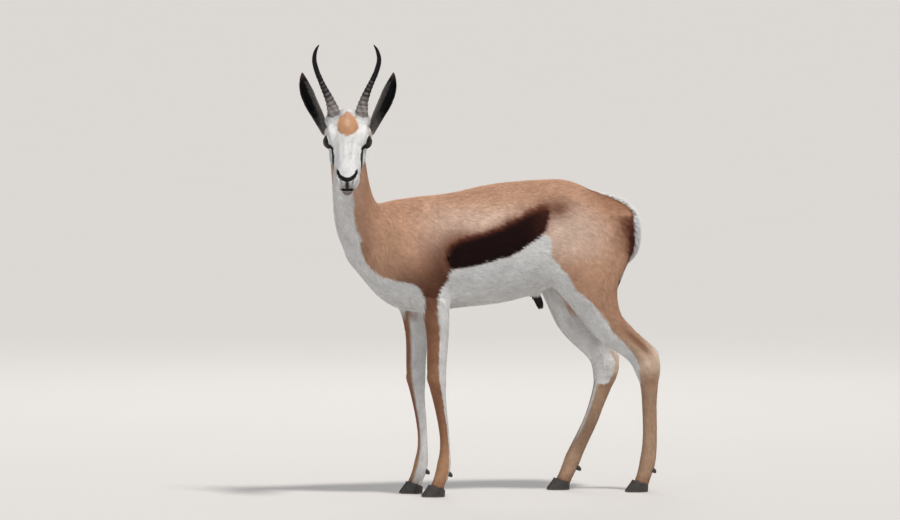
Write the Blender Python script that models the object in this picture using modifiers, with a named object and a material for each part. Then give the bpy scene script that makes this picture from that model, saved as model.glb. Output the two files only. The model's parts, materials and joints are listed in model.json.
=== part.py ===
"""A young springbok ram standing with its head turned to its left. Metres, +Z up, head towards -X, the animal's left towards -Y."""
import math

import bmesh
import bpy
import numpy as np

MM = 0.001
GAP = 0.34            # mm between neighbouring sub-parts
ORIGIN = (-69.1, -64.6, 0.0)   # mm, middle of the footprint in the drawing frame
VOXEL = 5.0           # mm, grid on which the forms are joined
BODY_TRIANGLES = 4200

for old in list(bpy.data.objects):
    bpy.data.objects.remove(old)
scene = bpy.context.scene
model = bpy.data.collections.new("springbok")
cutters = bpy.data.collections.new("cutters")
scene.collection.children.link(model)
scene.collection.children.link(cutters)


# ---------------------------------------------------------------- curves through stations
def smooth_steps(x, y, xi):
    """monotone cubic through the stations"""
    x, y, xi = np.asarray(x, float), np.asarray(y, float), np.asarray(xi, float)
    y2 = y if y.ndim == 2 else y[:, None]
    h = np.diff(x)
    d = np.diff(y2, axis=0) / h[:, None]
    m = np.zeros_like(y2)
    m[0], m[-1] = d[0], d[-1]
    w1, w2 = (2 * h[1:] + h[:-1])[:, None], (h[1:] + 2 * h[:-1])[:, None]
    a, b = d[:-1], d[1:]
    safe = a * b > 0
    m[1:-1] = np.where(safe, (w1 + w2) / (w1 / np.where(safe, a, 1) + w2 / np.where(safe, b, 1)), 0)
    k = np.clip(np.searchsorted(x, xi, side="right") - 1, 0, len(x) - 2)
    t, hk = ((xi - x[k]) / h[k])[:, None], h[k][:, None]
    r = ((2 * t**3 - 3 * t**2 + 1) * y2[k] + (t**3 - 2 * t**2 + t) * hk * m[k]
         + (3 * t**2 - 2 * t**3) * y2[k + 1] + (t**3 - t**2) * hk * m[k + 1])
    return r if y.ndim == 2 else r[:, 0]


def flowing(x, y, xi):
    """cubic through the stations, rounding every corner"""
    x, y = np.asarray(x, float), np.asarray(y, float)
    m = np.gradient(y, x, axis=0)
    k = np.clip(np.searchsorted(x, xi, side="right") - 1, 0, len(x) - 2)
    h = np.diff(x)
    t, hk = ((xi - x[k]) / h[k])[:, None], h[k][:, None]
    return ((2 * t**3 - 3 * t**2 + 1) * y[k] + (t**3 - 2 * t**2 + t) * hk * m[k]
            + (3 * t**2 - 2 * t**3) * y[k + 1] + (t**3 - t**2) * hk * m[k + 1])


def power(c, p):
    return np.sign(c) * np.abs(c) ** (2.0 / p)


def along(points):
    return np.r_[0, np.cumsum(np.linalg.norm(np.diff(points, axis=0), axis=1))]


def tangents(c, s):
    t = np.gradient(c, s, axis=0)
    return t / np.linalg.norm(t, axis=1, keepdims=True)


def turn_round(m):
    return np.linspace(0, 2 * math.pi, m, endpoint=False)


def loft(rings):
    """closed skin over a row of rings, a fan at each end"""
    n, m, _ = rings.shape
    a = np.arange(m)
    b = (a + 1) % m
    faces = [tuple(q) for i in range(n - 1)
             for q in np.stack([i * m + a, i * m + b, (i + 1) * m + b, (i + 1) * m + a], 1)]
    faces += [(n * m, j, i) for i, j in zip(a, b)]
    faces += [(n * m + 1, (n - 1) * m + i, (n - 1) * m + j) for i, j in zip(a, b)]
    return np.concatenate([rings.reshape(-1, 3), rings[:1].mean(1), rings[-1:].mean(1)]), faces


def oval(m, side, upper, lower, p_up, p_low):
    a = turn_round(m)
    c, s = np.cos(a), np.sin(a)
    return np.stack([side * np.where(s >= 0, power(c, p_up), power(c, p_low)),
                     np.where(s >= 0, upper * power(s, p_up), lower * power(s, p_low))], 1)


def ellipsoid(centre, radii, axes=np.eye(3), n=16, m=20):
    a = turn_round(m)
    rings = [np.array(centre) + (np.stack([np.sin(t) * np.cos(a), np.sin(t) * np.sin(a), np.full(m, np.cos(t))], 1)
                                 * radii) @ np.array(axes, float)
             for t in np.linspace(math.pi, 0, n + 1)[1:-1]]
    return loft(np.array(rings))


def tube(points, radii, step, m, side=(0, 1, 0)):
    p = np.array(points, float)
    d = along(p)
    s = np.linspace(0, d[-1], max(4, int(d[-1] / step)))
    c, rr = flowing(d, p, s), smooth_steps(d, radii, s)
    a = turn_round(m)
    rings = []
    for q, t, k in zip(c, tangents(c, s), rr):
        l = np.array(side, float) - np.dot(side, t) * t
        l /= np.linalg.norm(l)
        rings.append(q + k * np.cos(a)[:, None] * l + k * np.sin(a)[:, None] * np.cross(t, l))
    return loft(np.array(rings))


# ---------------------------------------------------------------- trunk
# x, top, bottom, half width, height of the widest line, upper and lower fullness
TRUNK = [
    (-408, 640, 606, 14, 624, 2.0, 2.0), (-398, 672, 588, 34, 624, 2.0, 2.0), (-378, 700, 566, 50, 622, 2.0, 2.0),
    (-350, 722, 533, 63, 616, 2.0, 2.0), (-320, 737, 500, 74, 610, 2.0, 2.1), (-285, 747, 476, 83, 606, 2.0, 2.2),
    (-245, 752, 462, 88, 606, 2.0, 2.2), (-205, 757, 460, 91, 608, 2.0, 2.2), (-157, 760, 463, 94, 608, 2.05, 2.2),
    (-105, 768, 469, 97, 608, 2.1, 2.2), (-52, 780, 473, 99, 608, 2.1, 2.2), (0, 788, 479, 100, 610, 2.1, 2.2),
    (53, 792, 490, 98, 614, 2.1, 2.2), (105, 795, 507, 93, 630, 2.1, 2.1), (158, 796, 530, 88, 660, 2.1, 2.0),
    (185, 791, 545, 86, 665, 2.1, 2.0), (211, 781, 555, 84, 665, 2.1, 2.0), (238, 768, 562, 82, 660, 2.1, 2.0),
    (264, 758, 566, 79, 656, 2.05, 2.0), (291, 751, 568, 73, 652, 2.0, 2.0), (317, 742, 570, 64, 648, 2.0, 2.0),
    (338, 729, 576, 52, 645, 2.0, 2.0), (352, 711, 588, 36, 644, 2.0, 2.0), (360, 686, 606, 18, 644, 2.0, 2.0),
    (363, 666, 624, 6, 644, 2.0, 2.0),
]


def trunk_form(step=9, m=48):
    t = np.array(TRUNK, float)
    xs = np.linspace(t[0, 0], t[-1, 0], int(np.ptp(t[:, 0]) / step))
    rings = []
    for x, (top, low, w, mid, pu, pl) in zip(xs, smooth_steps(t[:, 0], t[:, 1:], xs)):
        s = oval(m, w, top - mid, mid - low, pu, pl)
        rings.append(np.stack([np.full(m, x), s[:, 0], mid + s[:, 1]], 1)[::-1])
    return loft(np.array(rings))


# ---------------------------------------------------------------- neck
# centre x, y, z, half depth to the throat, to the nape, half width, turn of the throat in degrees
NECK = [
    (-232, 0, 628, 112, 104, 62, 0), (-278, 0, 636, 104, 94, 66, 0), (-322, -3, 652, 92, 82, 66, 3),
    (-356, -8, 676, 77, 69, 61, 8), (-376, -16, 706, 66, 61, 56, 14), (-389, -26, 738, 59, 56, 52, 22),
    (-398, -36, 770, 56, 54, 48, 30), (-405, -46, 805, 55, 53, 46, 40), (-411, -56, 840, 55, 51, 45, 50),
    (-416, -66, 876, 55, 48, 44, 60), (-421, -80, 908, 50, 43, 42, 68), (-426, -98, 932, 40, 34, 38, 74),
]


def neck_form(step=9, m=40):
    t = np.array(NECK, float)
    d = along(t[:, :3])
    s = np.linspace(0, d[-1], int(d[-1] / step))
    q = flowing(d, t, s)
    rings = []
    for row, t0 in zip(q, tangents(q[:, :3], s)):
        a = math.radians(row[6])
        v = np.array([-math.cos(a), -math.sin(a), 0.0])
        v -= v.dot(t0) * t0
        v /= np.linalg.norm(v)
        sec = oval(m, row[5], row[3], row[4], 2.0, 2.0)
        rings.append(row[:3] + sec[:, :1] * np.cross(t0, v) + sec[:, 1:] * v)
    return loft(np.array(rings))


# ---------------------------------------------------------------- limbs
# joints counted from the top and shares between them: half depth forward, backward, half width, fullness
FORE = [
    (0.00, 40, 44, 14, 2.0), (0.40, 60, 66, 28, 2.0), (0.80, 62, 74, 34, 2.0), (1.00, 58, 80, 36, 2.0),
    (1.40, 52, 72, 36, 2.0), (1.75, 46, 54, 34, 2.0), (2.00, 41, 43, 32, 2.0), (2.30, 34, 34, 28, 2.0),
    (2.60, 28.5, 28.5, 24, 2.1), (2.85, 26, 25, 22, 2.3), (3.00, 25, 23.5, 22.5, 2.4), (3.08, 22, 22, 21.5, 2.3),
    (3.22, 18, 18, 17, 2.1), (3.45, 14.5, 15, 13.5, 2.1), (3.70, 13, 13, 12.5, 2.1), (3.88, 14.5, 15, 15, 2.1),
    (4.00, 17, 19, 18.5, 2.1), (4.35, 16.5, 20, 18.5, 2.1), (4.75, 17.5, 17, 18, 2.1), (5.00, 20, 16, 19.5, 2.2),
]
HIND = [
    (0.00, 80, 84, 28, 2.0), (0.35, 108, 112, 42, 2.0), (0.70, 112, 112, 48, 2.0), (1.00, 98, 98, 48, 2.0),
    (1.20, 82, 82, 45, 2.0), (1.50, 66, 66, 40, 2.0), (2.00, 50, 52, 31, 1.9), (2.40, 40, 42, 25, 1.8),
    (2.75, 36, 38, 20.5, 1.8), (3.00, 36, 40, 21, 1.9), (3.25, 32, 33, 21, 2.0), (3.50, 24, 24, 18, 2.1),
    (4.00, 19.5, 20, 14.5, 2.1), (4.45, 19, 20, 13.5, 2.1), (4.80, 19.5, 21, 15.5, 2.1), (5.00, 20, 22, 19, 2.1),
    (5.40, 18.5, 20.5, 18.5, 2.1), (5.75, 18.5, 18, 18, 2.1), (6.00, 20, 16, 19.5, 2.2),
]
JOINTS = {
    "front_left": [(-238, -44, 716), (-262, -62, 600), (-190, -60, 478), (-182, -60, 298), (-165, -60, 80), (-184, -60, 10)],
    "front_right": [(-238, 44, 716), (-268, 62, 600), (-209, 60, 470), (-203, 58, 292), (-191, 58, 78), (-212, 58, 10)],
    "hind_left": [(226, -44, 700), (216, -60, 540), (256, -66, 436), (366, -62, 327), (377, -60, 211), (372, -60, 78), (353, -60, 10)],
    "hind_right": [(226, 44, 700), (196, 60, 540), (208, 66, 444), (297, 62, 318), (268, 60, 200), (210, 60, 78), (181, 60, 10)],
}


def limb_form(leg, step=8, m=32):
    j = np.array(JOINTS[leg], float)
    t = np.array(FORE if leg.startswith("front") else HIND, float)
    length = along(j)
    s = np.linspace(0, length[-1], int(length[-1] / step))
    c = flowing(length, j, s)
    q = smooth_steps(np.interp(t[:, 0], np.arange(len(j)), length), t[:, 1:], s)
    rings = []
    for p, t0, (f, b, w, e) in zip(c, tangents(c, s), q):
        l = np.array([0.0, 1.0, 0.0]) - t0[1] * t0
        l /= np.linalg.norm(l)
        v = np.cross(l, t0)
        v *= -np.sign(v[0])
        sec = oval(m, w, f, b, e, e)
        r = p + sec[:, :1] * l + sec[:, 1:] * v
        rings.append(r[::-1] if np.dot(np.cross(l, v), t0) < 0 else r)
    return loft(np.array(rings))


# ---------------------------------------------------------------- head frame: u down the face, v to the animal's left, w out of the brow
TURN, PITCH = math.radians(73.9), math.radians(57.0)
UP = np.array([0.0, 0.0, 1.0])
AHEAD = np.array([-math.cos(TURN), -math.sin(TURN), 0.0])
U = AHEAD * math.cos(PITCH) - UP * math.sin(PITCH)
V = np.cross(UP, AHEAD)
W = UP * math.cos(PITCH) + AHEAD * math.sin(PITCH)
POLL = np.array([-438.0, -150.0, 965.0])      # between the horns' front edges


def in_head(u, v, w):
    return POLL + u * U + v * V + w * W


def from_poll(across, ahead, up):
    return POLL + np.outer(across, V) + np.outer(ahead, AHEAD) + np.outer(up, UP)


# u, top, bottom, half widths at the brow, cheek and jaw lines
HEAD = [
    (-34, -64, -78, 6, 10, 8), (-30, -56, -88, 18, 22, 18), (-20, -40, -102, 33, 36, 30), (-10, -18, -112, 40, 42, 34),
    (0, 0, -117, 45, 44, 36), (15, 6, -119, 49, 46, 36), (35, 5, -116, 50, 46, 34), (55, 2, -108, 47, 45, 32),
    (75, -1, -98, 41, 44, 31), (95, -3, -89, 36.5, 42.5, 30), (115, -4, -82, 33, 39.5, 29), (135, -5, -78, 30.5, 35.5, 27),
    (155, -8, -77, 28, 30.5, 23.5), (170, -13, -76, 26, 28, 21), (181, -21, -74, 21, 25, 18), (189, -33, -68, 12, 16, 12),
    (192, -44, -60, 5, 7, 5),
]


def head_form(step=6, m=40):
    t = np.array(HEAD, float)
    us = np.linspace(t[0, 0], t[-1, 0], int(np.ptp(t[:, 0]) / step))
    rings = []
    for u, (top, low, w1, w2, w3) in zip(us, smooth_steps(t[:, 0], t[:, 1:], us)):
        share = np.array([0.0, 0.04, 0.22, 0.48, 0.80, 0.97, 1.0])
        side = np.array([0.0, w1 * 0.55, w1, w2, w3, w3 * 0.55, 0.0])
        pts = np.stack([side, top - share * (top - low)], 1)
        d = along(pts)
        ext = np.concatenate([[[-pts[1, 0], pts[1, 1]]], pts, [[-pts[-2, 0], pts[-2, 1]]]])
        half = flowing(np.concatenate([[-d[1]], d, [2 * d[-1] - d[-2]]]), ext, np.linspace(0, d[-1], m // 2 + 1))
        ring = np.concatenate([half, (half[1:-1] * [-1, 1])[::-1]])
        rings.append([in_head(u, a, b) for a, b in ring[::-1]])
    return loft(np.array(rings))


EYE = (62.0, 42.5, -30.0)
EYE_RADIUS = 16.5
# centres u, v, w and radii, both sides
HEAD_SIDES = {
    "brow": ((48, 39, -15), (27, 16, 13)), "orbit": ((61, 39.5, -30), (27, 17.5, 24)), "cheek": ((84, 34, -50), (36, 12, 14)),
    "jaw": ((32, 33, -80), (38, 14, 32)), "ear_root": ((22, 43, -58), (20, 17, 24)), "horn_seat": ((-4, 32, -12), (17, 18, 13)),
    "temple": ((8, 42, -24), (20, 15, 18)),
    "upper_lip": ((160, 19, -46), (26, 12.5, 17)), "nostril": ((171, 16, -28), (15, 11, 13)),
}
HEAD_MIDDLE = {
    "nose": ((177, 0, -28), (14, 17, 16)), "chin": ((178, 0, -66), (18, 15, 13)), "lower_lip": ((152, 0, -62), (32, 20, 15)),
    "forehead": ((20, 0, -4), (40, 26, 12)),
}
# centres x, y, z, radii and turn about the side axis, both sides
BODY_SIDES = {
    "shoulder": ((-222, 66, 590), (50, 27, 78), 12), "upper_arm": ((-180, 64, 548), (36, 25, 54), -20),
    "breast_point": ((-292, 48, 588), (34, 30, 38), 0), "blade": ((-205, 50, 690), (40, 24, 56), 12),
    "hip": ((178, 56, 738), (34, 24, 26), 0), "thigh": ((228, 62, 636), (92, 36, 92), -18),
    "buttock": ((316, 38, 655), (42, 33, 78), 6), "flank_fold": ((118, 72, 582), (44, 14, 50), 35),
}


def body_forms():
    forms = [trunk_form(), neck_form(), head_form()] + [limb_form(leg) for leg in JOINTS]
    for leg, j in JOINTS.items():
        if leg.startswith("hind"):      # heel cord and point of the hock
            a, b, c = (np.array(j[i], float) for i in (2, 3, 4))
            t = (b - a) / np.linalg.norm(b - a)
            back = np.cross([0, 1, 0], t)
            back *= np.sign(back[0])
            forms.append(tube([a + back * 34 - t * 10, a * 0.45 + b * 0.55 + back * 35, b + back * 29,
                               b + back * 9 + (c - b) * 0.35, c + [10, 0, 0]], [12, 9, 12.5, 12, 9], 8, 14))
            forms.append(ellipsoid(b + t * 4 + back * 37, (9, 9, 9), n=10, m=12))      # point of the hock
        else:                           # point of the elbow
            forms.append(ellipsoid(np.array(j[2], float) + [32, 0, 20], (17, 14, 27)))
        low = np.array(j[-2], float)    # dewclaws
        for side in (-1, 1):
            forms.append(ellipsoid(low + [15, side * 8.5, -22], (8, 6.5, 9), n=10, m=12))
    for c, r, turn in BODY_SIDES.values():
        a = math.radians(turn)
        axes = [[math.cos(a), 0, math.sin(a)], [0, 1, 0], [-math.sin(a), 0, math.cos(a)]]
        forms += [ellipsoid((c[0], y * c[1], c[2]), r, axes) for y in (-1, 1)]
    for (u, v, w), r in HEAD_SIDES.values():
        forms += [ellipsoid(in_head(u, y * v, w), r, [U, V, W]) for y in (-1, 1)]
    for (u, v, w), r in HEAD_MIDDLE.values():
        forms.append(ellipsoid(in_head(u, v, w), r, [U, V, W]))
    forms.append(tube([(84, 0, 522), (94, 0, 503), (102, 0, 484), (107, 0, 465)], [18, 17, 15, 12], 5, 14))   # sheath
    return forms


# ---------------------------------------------------------------- mesh helpers
def new_object(name, points, faces, collection, colour=None, roughness=0.8):
    mesh = bpy.data.meshes.new(name)
    mesh.from_pydata(((np.asarray(points) - ORIGIN) * MM).tolist(), [], [tuple(int(i) for i in f) for f in faces])
    mesh.validate()
    bm = bmesh.new()
    bm.from_mesh(mesh)
    bmesh.ops.recalc_face_normals(bm, faces=bm.faces)
    bmesh.ops.triangulate(bm, faces=bm.faces)
    bm.to_mesh(mesh)
    bm.free()
    obj = bpy.data.objects.new(name, mesh)
    collection.objects.link(obj)
    if collection is cutters:
        obj.hide_render = True
        obj.display_type = "WIRE"
    if colour:
        material(obj, colour, roughness)
    mesh.polygons.foreach_set("use_smooth", [True] * len(mesh.polygons))
    return obj


def material(obj, colour, roughness):
    m = bpy.data.materials.new(obj.name)
    m.use_nodes = True
    shader = m.node_tree.nodes["Principled BSDF"]
    shader.inputs["Base Color"].default_value = (*colour, 1)
    shader.inputs["Roughness"].default_value = roughness
    m.diffuse_color = (*colour, 1)
    obj.data.materials.clear()
    obj.data.materials.append(m)


def settled(obj):
    """the object's mesh with its modifiers worked in"""
    graph = bpy.context.evaluated_depsgraph_get()
    mesh = bpy.data.meshes.new_from_object(obj.evaluated_get(graph))
    obj.modifiers.clear()
    obj.data = mesh
    return obj


def cut(obj, other, operation="DIFFERENCE"):
    b = obj.modifiers.new(operation.lower(), "BOOLEAN")
    b.operation, b.object, b.solver = operation, other, "EXACT"
    return obj


def grown(obj, by):
    """a cutter a little larger than the object"""
    copy = bpy.data.objects.new(obj.name + "_room", obj.data.copy())
    cutters.objects.link(copy)
    copy.hide_render, copy.display_type = True, "WIRE"
    bm = bmesh.new()
    bm.from_mesh(copy.data)
    bmesh.ops.recalc_face_normals(bm, faces=bm.faces)
    bm.normal_update()
    for v in bm.verts:
        v.co += v.normal * by * MM * v.calc_shell_factor()
    bm.to_mesh(copy.data)
    bm.free()
    return copy


def region(name, planes, by):
    """the space behind every plane (point, outward normal), each moved out by `by`"""
    bm = bmesh.new()
    bmesh.ops.create_cube(bm, size=4.0)
    for point, normal in planes:
        n = np.array(normal, float)
        n /= np.linalg.norm(n)
        p = (np.array(point, float) - ORIGIN + n * by) * MM
        bmesh.ops.bisect_plane(bm, geom=bm.verts[:] + bm.edges[:] + bm.faces[:], plane_co=p, plane_no=n, clear_outer=True)
        bmesh.ops.holes_fill(bm, edges=[e for e in bm.edges if e.is_boundary], sides=0)
    bmesh.ops.recalc_face_normals(bm, faces=bm.faces)
    mesh = bpy.data.meshes.new(name)
    bm.to_mesh(mesh)
    bm.free()
    obj = bpy.data.objects.new(name, mesh)
    cutters.objects.link(obj)
    obj.hide_render, obj.display_type = True, "WIRE"
    return obj


# ---------------------------------------------------------------- the whole body
def ramp(x, a, b):
    t = np.clip((x - a) / (b - a), 0, 1)
    return t * t * (3 - 2 * t)


def headness(p):
    """1 on the head, 0 from the throat down"""
    d = p - POLL
    return ramp(d @ U, -20, 25) * ramp(d @ AHEAD, -95, -55)


def softened(mesh, spread=15.0):
    """rounds the joins: widely on trunk and neck, a little on head and lower legs"""
    n = len(mesh.vertices)
    co = np.empty(n * 3, np.float32)
    mesh.vertices.foreach_get("co", co)
    p = co.reshape(-1, 3).astype(float) / MM + ORIGIN
    e = np.empty(len(mesh.edges) * 2, np.int32)
    mesh.edges.foreach_get("vertices", e)
    e = e.reshape(-1, 2)
    a, b = np.concatenate([e[:, 0], e[:, 1]]), np.concatenate([e[:, 1], e[:, 0]])
    order = np.argsort(a, kind="stable")
    b = b[order]
    degree = np.bincount(a, minlength=n)
    start = np.r_[0, np.cumsum(degree)[:-1]]
    weight = (0.05 + 0.95 * ramp(p[:, 2], 330, 500)) * (1 - 0.95 * headness(p))
    rounds = int(spread**2 / (0.25 * VOXEL**2))
    for _ in range(rounds):
        p += 0.5 * weight[:, None] * (np.add.reduceat(p[b], start, axis=0) / degree[:, None] - p)
    mesh.vertices.foreach_set("co", ((p - ORIGIN) * MM).astype(np.float32).ravel())
    mesh.update()
    return p


points, faces, count = [], [], 0
for v, f in body_forms():
    points.append(v)
    faces += [tuple(i + count for i in q) for q in f]
    count += len(v)
body = new_object("body_form", np.concatenate(points), faces, cutters)
remesh = body.modifiers.new("join", "REMESH")
remesh.mode, remesh.voxel_size = "VOXEL", VOXEL * MM
settled(body)
where = softened(body.data)
group = body.vertex_groups.new(name="thin")
fine = np.maximum(0.80 * headness(where), 0.42 + 0.2 * (1 - ramp(where[:, 2], 330, 480)))
for i, k in enumerate(fine):
    group.add([i], 1.0 - float(k), "REPLACE")
thin = body.modifiers.new("thin", "DECIMATE")
thin.ratio = BODY_TRIANGLES / (2 * len(body.data.polygons))
thin.vertex_group, thin.vertex_group_factor = "thin", 1.0
settled(body)
body.vertex_groups.clear()

# ---------------------------------------------------------------- horns
# across, ahead, up from the poll, radius
HORNS = {
    "horn_right": [(-31, -16, -22, 16), (-33, -17, -8, 17.0), (-36, -18, 8, 15.6), (-44.5, -23, 33, 12.2), (-56.5, -30, 58, 9.8),
                   (-68, -37, 83, 8.0), (-78, -42, 108, 7.1), (-83.5, -44, 134, 6.1), (-79, -39, 158, 4.0), (-71.5, -33, 171, 1.6)],
    "horn_left": [(31, -16, -22, 16), (33, -17, -8, 17.0), (35, -18, 8, 15.6), (40.5, -23, 33, 12.2), (50, -30, 58, 9.8),
                  (61.5, -37, 83, 8.0), (72, -42, 108, 7.1), (77.5, -44, 134, 6.1), (72, -39, 158, 4.0), (64.5, -33, 171, 1.6)],
}


def horn_form(name, step=11, m=10):
    t = np.array(HORNS[name], float)
    p = from_poll(t[:, 0], t[:, 1], t[:, 2])
    d = along(p)
    s = np.linspace(0, d[-1], int(d[-1] / step))
    c, rr = flowing(d, p, s), smooth_steps(d, t[:, 3], s)
    a = turn_round(m)
    rings = []
    for q, t0, k in zip(c, tangents(c, s), rr):
        l = V - V.dot(t0) * t0
        l /= np.linalg.norm(l)
        rings.append(q + k * 0.96 * np.cos(a)[:, None] * l + k * 1.08 * np.sin(a)[:, None] * np.cross(t0, l))
    return loft(np.array(rings))


# ---------------------------------------------------------------- ears
# across, ahead, up from the poll, half width, cup depth, turn of the opening outward in degrees
EAR = [
    (-36, -52, -76, 11, 9, 20), (-46, -50, -61, 11.5, 10, 24), (-57, -47, -42, 12.5, 12, 28), (-67, -44, -22, 14.5, 14, 30),
    (-77.5, -43, 0, 16.5, 15, 26), (-88.5, -43, 21, 18.2, 15, 22), (-98.5, -43, 44, 18.6, 13, 18), (-106, -43, 65, 16, 10, 14),
    (-110, -43, 81, 11.5, 6, 10), (-112.5, -43, 95, 6.2, 3, 8), (-113.5, -43, 103.5, 1.8, 1.2, 8),
]
EAR_SWEEP = 1.45
EAR_THICK = 5.0


def ear_form(side, step=14, m=7):
    t = np.array(EAR, float)
    p = from_poll(t[:, 0] * -side, t[:, 1], t[:, 2])
    d = along(p)
    s = np.linspace(0, d[-1], int(d[-1] / step))
    c, q = flowing(d, p, s), smooth_steps(d, t[:, 3:], s)
    x = np.linspace(-1, 1, m)
    bend = (np.cos(x * EAR_SWEEP) - math.cos(EAR_SWEEP)) / (1 - math.cos(EAR_SWEEP))
    across = np.sin(x * EAR_SWEEP) / math.sin(EAR_SWEEP)
    rings = []
    for o, t0, (half, cup, turn) in zip(c, tangents(c, s), q):
        a = math.radians(turn) * side
        f = AHEAD * math.cos(a) + V * math.sin(a)
        f -= f.dot(t0) * t0
        f /= np.linalg.norm(f)
        thick = min(EAR_THICK, 0.55 * half)
        outer = np.stack([half * across, -cup * bend], 1)
        inner = np.stack([(half - 0.35 * thick) * across, thick * np.maximum(0.3, np.cos(x * 1.3)) - cup * bend], 1)
        ring = np.concatenate([outer, inner[::-1]])
        rings.append(o + ring[:, :1] * np.cross(f, t0) + ring[:, 1:] * f)
    return loft(np.array(rings))


# ---------------------------------------------------------------- tail
TAIL = [(328, 0, 706, 8), (342, 0, 700, 9.5), (350, 0, 680, 10), (349, 0, 645, 10), (340, -1, 608, 9.5),
        (328, -2, 572, 9), (315, -3, 540, 8.5), (305, -4, 516, 7), (297, -5, 500, 4)]

# ---------------------------------------------------------------- hooves: two claws to a foot, over flat soles
# height, toe set back, heel set forward, half width
CLAW = [(0, 0, 0, 9.6), (5, 1.5, -0.5, 9.8), (14, 8, -1.0, 9.6), (26, 17, -1.5, 9.2), (44, 26, 0, 8.6)]
FEET = {"front_left": (-222, -165, -60), "front_right": (-247, -190, 58), "hind_left": (314, 370, -60), "hind_right": (143, 199, 60)}
CORONET_TOE, CORONET_HEEL = 31.0, 17.0
CLEFT = 0.9


def claw_form(foot, side, m=12):
    toe, heel, y = FEET[foot]
    a = turn_round(m)
    rings = []
    for z, back, forward, half in CLAW:
        x0, x1 = toe + back, heel - forward
        x = (x0 + x1) / 2 + (x1 - x0) / 2 * np.cos(a)
        share = (x - x0) / (x1 - x0)
        width = half * np.minimum(1, 0.42 + 0.95 * share) * np.where(np.sin(a) > 0, 1.0, 1.0)
        off = np.clip(np.sin(a) * 1.35, -1, 1) * width
        pinch = (half - width) * 0.55
        rings.append(np.stack([x, y + side * (CLEFT + half - pinch + off), np.full(m, float(z))], 1))
    return loft(np.array(rings))


def coronet(foot):
    """the plane over the claws: point and the normal that points to the ground"""
    toe, heel, y = FEET[foot]
    toe += 18
    n = np.array([CORONET_HEEL - CORONET_TOE, 0, toe - heel], float)
    return (heel, y, CORONET_HEEL), n * np.sign(-n[2])


extras = []
HORN_COLOUR, HOOF_COLOUR = (0.035, 0.03, 0.028), (0.03, 0.026, 0.024)
for name in HORNS:
    extras.append(new_object(name, *horn_form(name), model, HORN_COLOUR, 0.45))
for name, side in (("ear_right", -1), ("ear_left", 1)):
    extras.append(new_object(name, *ear_form(side), model, (0.42, 0.27, 0.17)))
tail_table = np.array(TAIL, float)
extras.append(new_object("tail", *tube(tail_table[:, :3], tail_table[:, 3], 14, 10), model, (0.75, 0.72, 0.68)))
for name, side in (("eye_right", -1), ("eye_left", 1)):
    extras.append(new_object(name, *ellipsoid(in_head(EYE[0], side * EYE[1], EYE[2]), (EYE_RADIUS,) * 3, [U, V, W], 9, 12),
                             model, (0.02, 0.012, 0.01), 0.08))
for obj in extras:
    cut(body, grown(obj, GAP))
    settled(body)

for foot in FEET:
    point, down = coronet(foot)
    keep = region("room_" + foot, [(point, -down)], -GAP / 2)
    for side, word in ((-1, "outer" if foot.endswith("left") else "inner"), (1, "inner" if foot.endswith("left") else "outer")):
        claw = new_object("hoof_%s_%s" % (foot, word), *claw_form(foot, side), model)
        settled(cut(claw, keep, "INTERSECT"))
        material(claw, HOOF_COLOUR, 0.5)

# ---------------------------------------------------------------- where the flesh parts meet
THROAT = POLL + AHEAD * -58 + UP * -115
HEAD_BACK = -(AHEAD * 0.91 + UP * 0.414)          # outward from the head into the neck
NECK_FOOT, NECK_DOWN = (-352, -8, 680), (0.62, 0.15, -0.77)
TAN, PALE, WHITE = (0.52, 0.32, 0.18), (0.62, 0.48, 0.36), (0.78, 0.75, 0.71)

FLESH = {
    "head": [(THROAT, HEAD_BACK)],
    "neck": [(THROAT, -HEAD_BACK), (NECK_FOOT, NECK_DOWN)],
}
for leg in JOINTS:
    side = -1 if leg.endswith("left") else 1
    ground = coronet(leg)
    if leg.startswith("front"):
        FLESH["leg_" + leg] = [((0, side * 22, 452), (0, -side * 58, 78)), ((-110, 0, 0), (1, 0, 0)), ((0, side * 2, 0), (0, -side, 0)), ground]
    else:
        FLESH["leg_" + leg] = [((0, side * 8, 522), (0, -side * 140, 87)), ((95, 0, 530), (-150, 0, 55)), ((0, side * 6, 0), (0, -side, 0)), ground]
COLOURS = {"head": WHITE, "neck": PALE}

trunk = None
for name, planes in FLESH.items():
    obj = bpy.data.objects.new(name, body.data.copy())
    model.objects.link(obj)
    settled(cut(obj, region(name + "_room", planes, -GAP / 2), "INTERSECT"))
    material(obj, COLOURS.get(name, TAN), 0.8)
trunk = bpy.data.objects.new("trunk", body.data.copy())
model.objects.link(trunk)
for name, planes in FLESH.items():
    if name == "head":
        continue
    wide = [planes[1]] if name == "neck" else planes[:-1]
    settled(cut(trunk, region(name + "_space", wide, GAP / 2)))
material(trunk, TAN, 0.8)

for obj in model.objects:
    bm = bmesh.new()
    bm.from_mesh(obj.data)
    bmesh.ops.dissolve_degenerate(bm, dist=0.000002, edges=bm.edges)
    bmesh.ops.triangulate(bm, faces=bm.faces)
    bm.to_mesh(obj.data)
    bm.free()
    obj.data.polygons.foreach_set("use_smooth", [True] * len(obj.data.polygons))
bpy.context.view_layer.update()
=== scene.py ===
"""The looks of the springbok: one skin under a short coat, horns, eyes, claws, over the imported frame."""
import json
import math

import bmesh
import bpy
import numpy as np
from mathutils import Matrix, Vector
from mathutils.bvhtree import BVHTree

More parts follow.
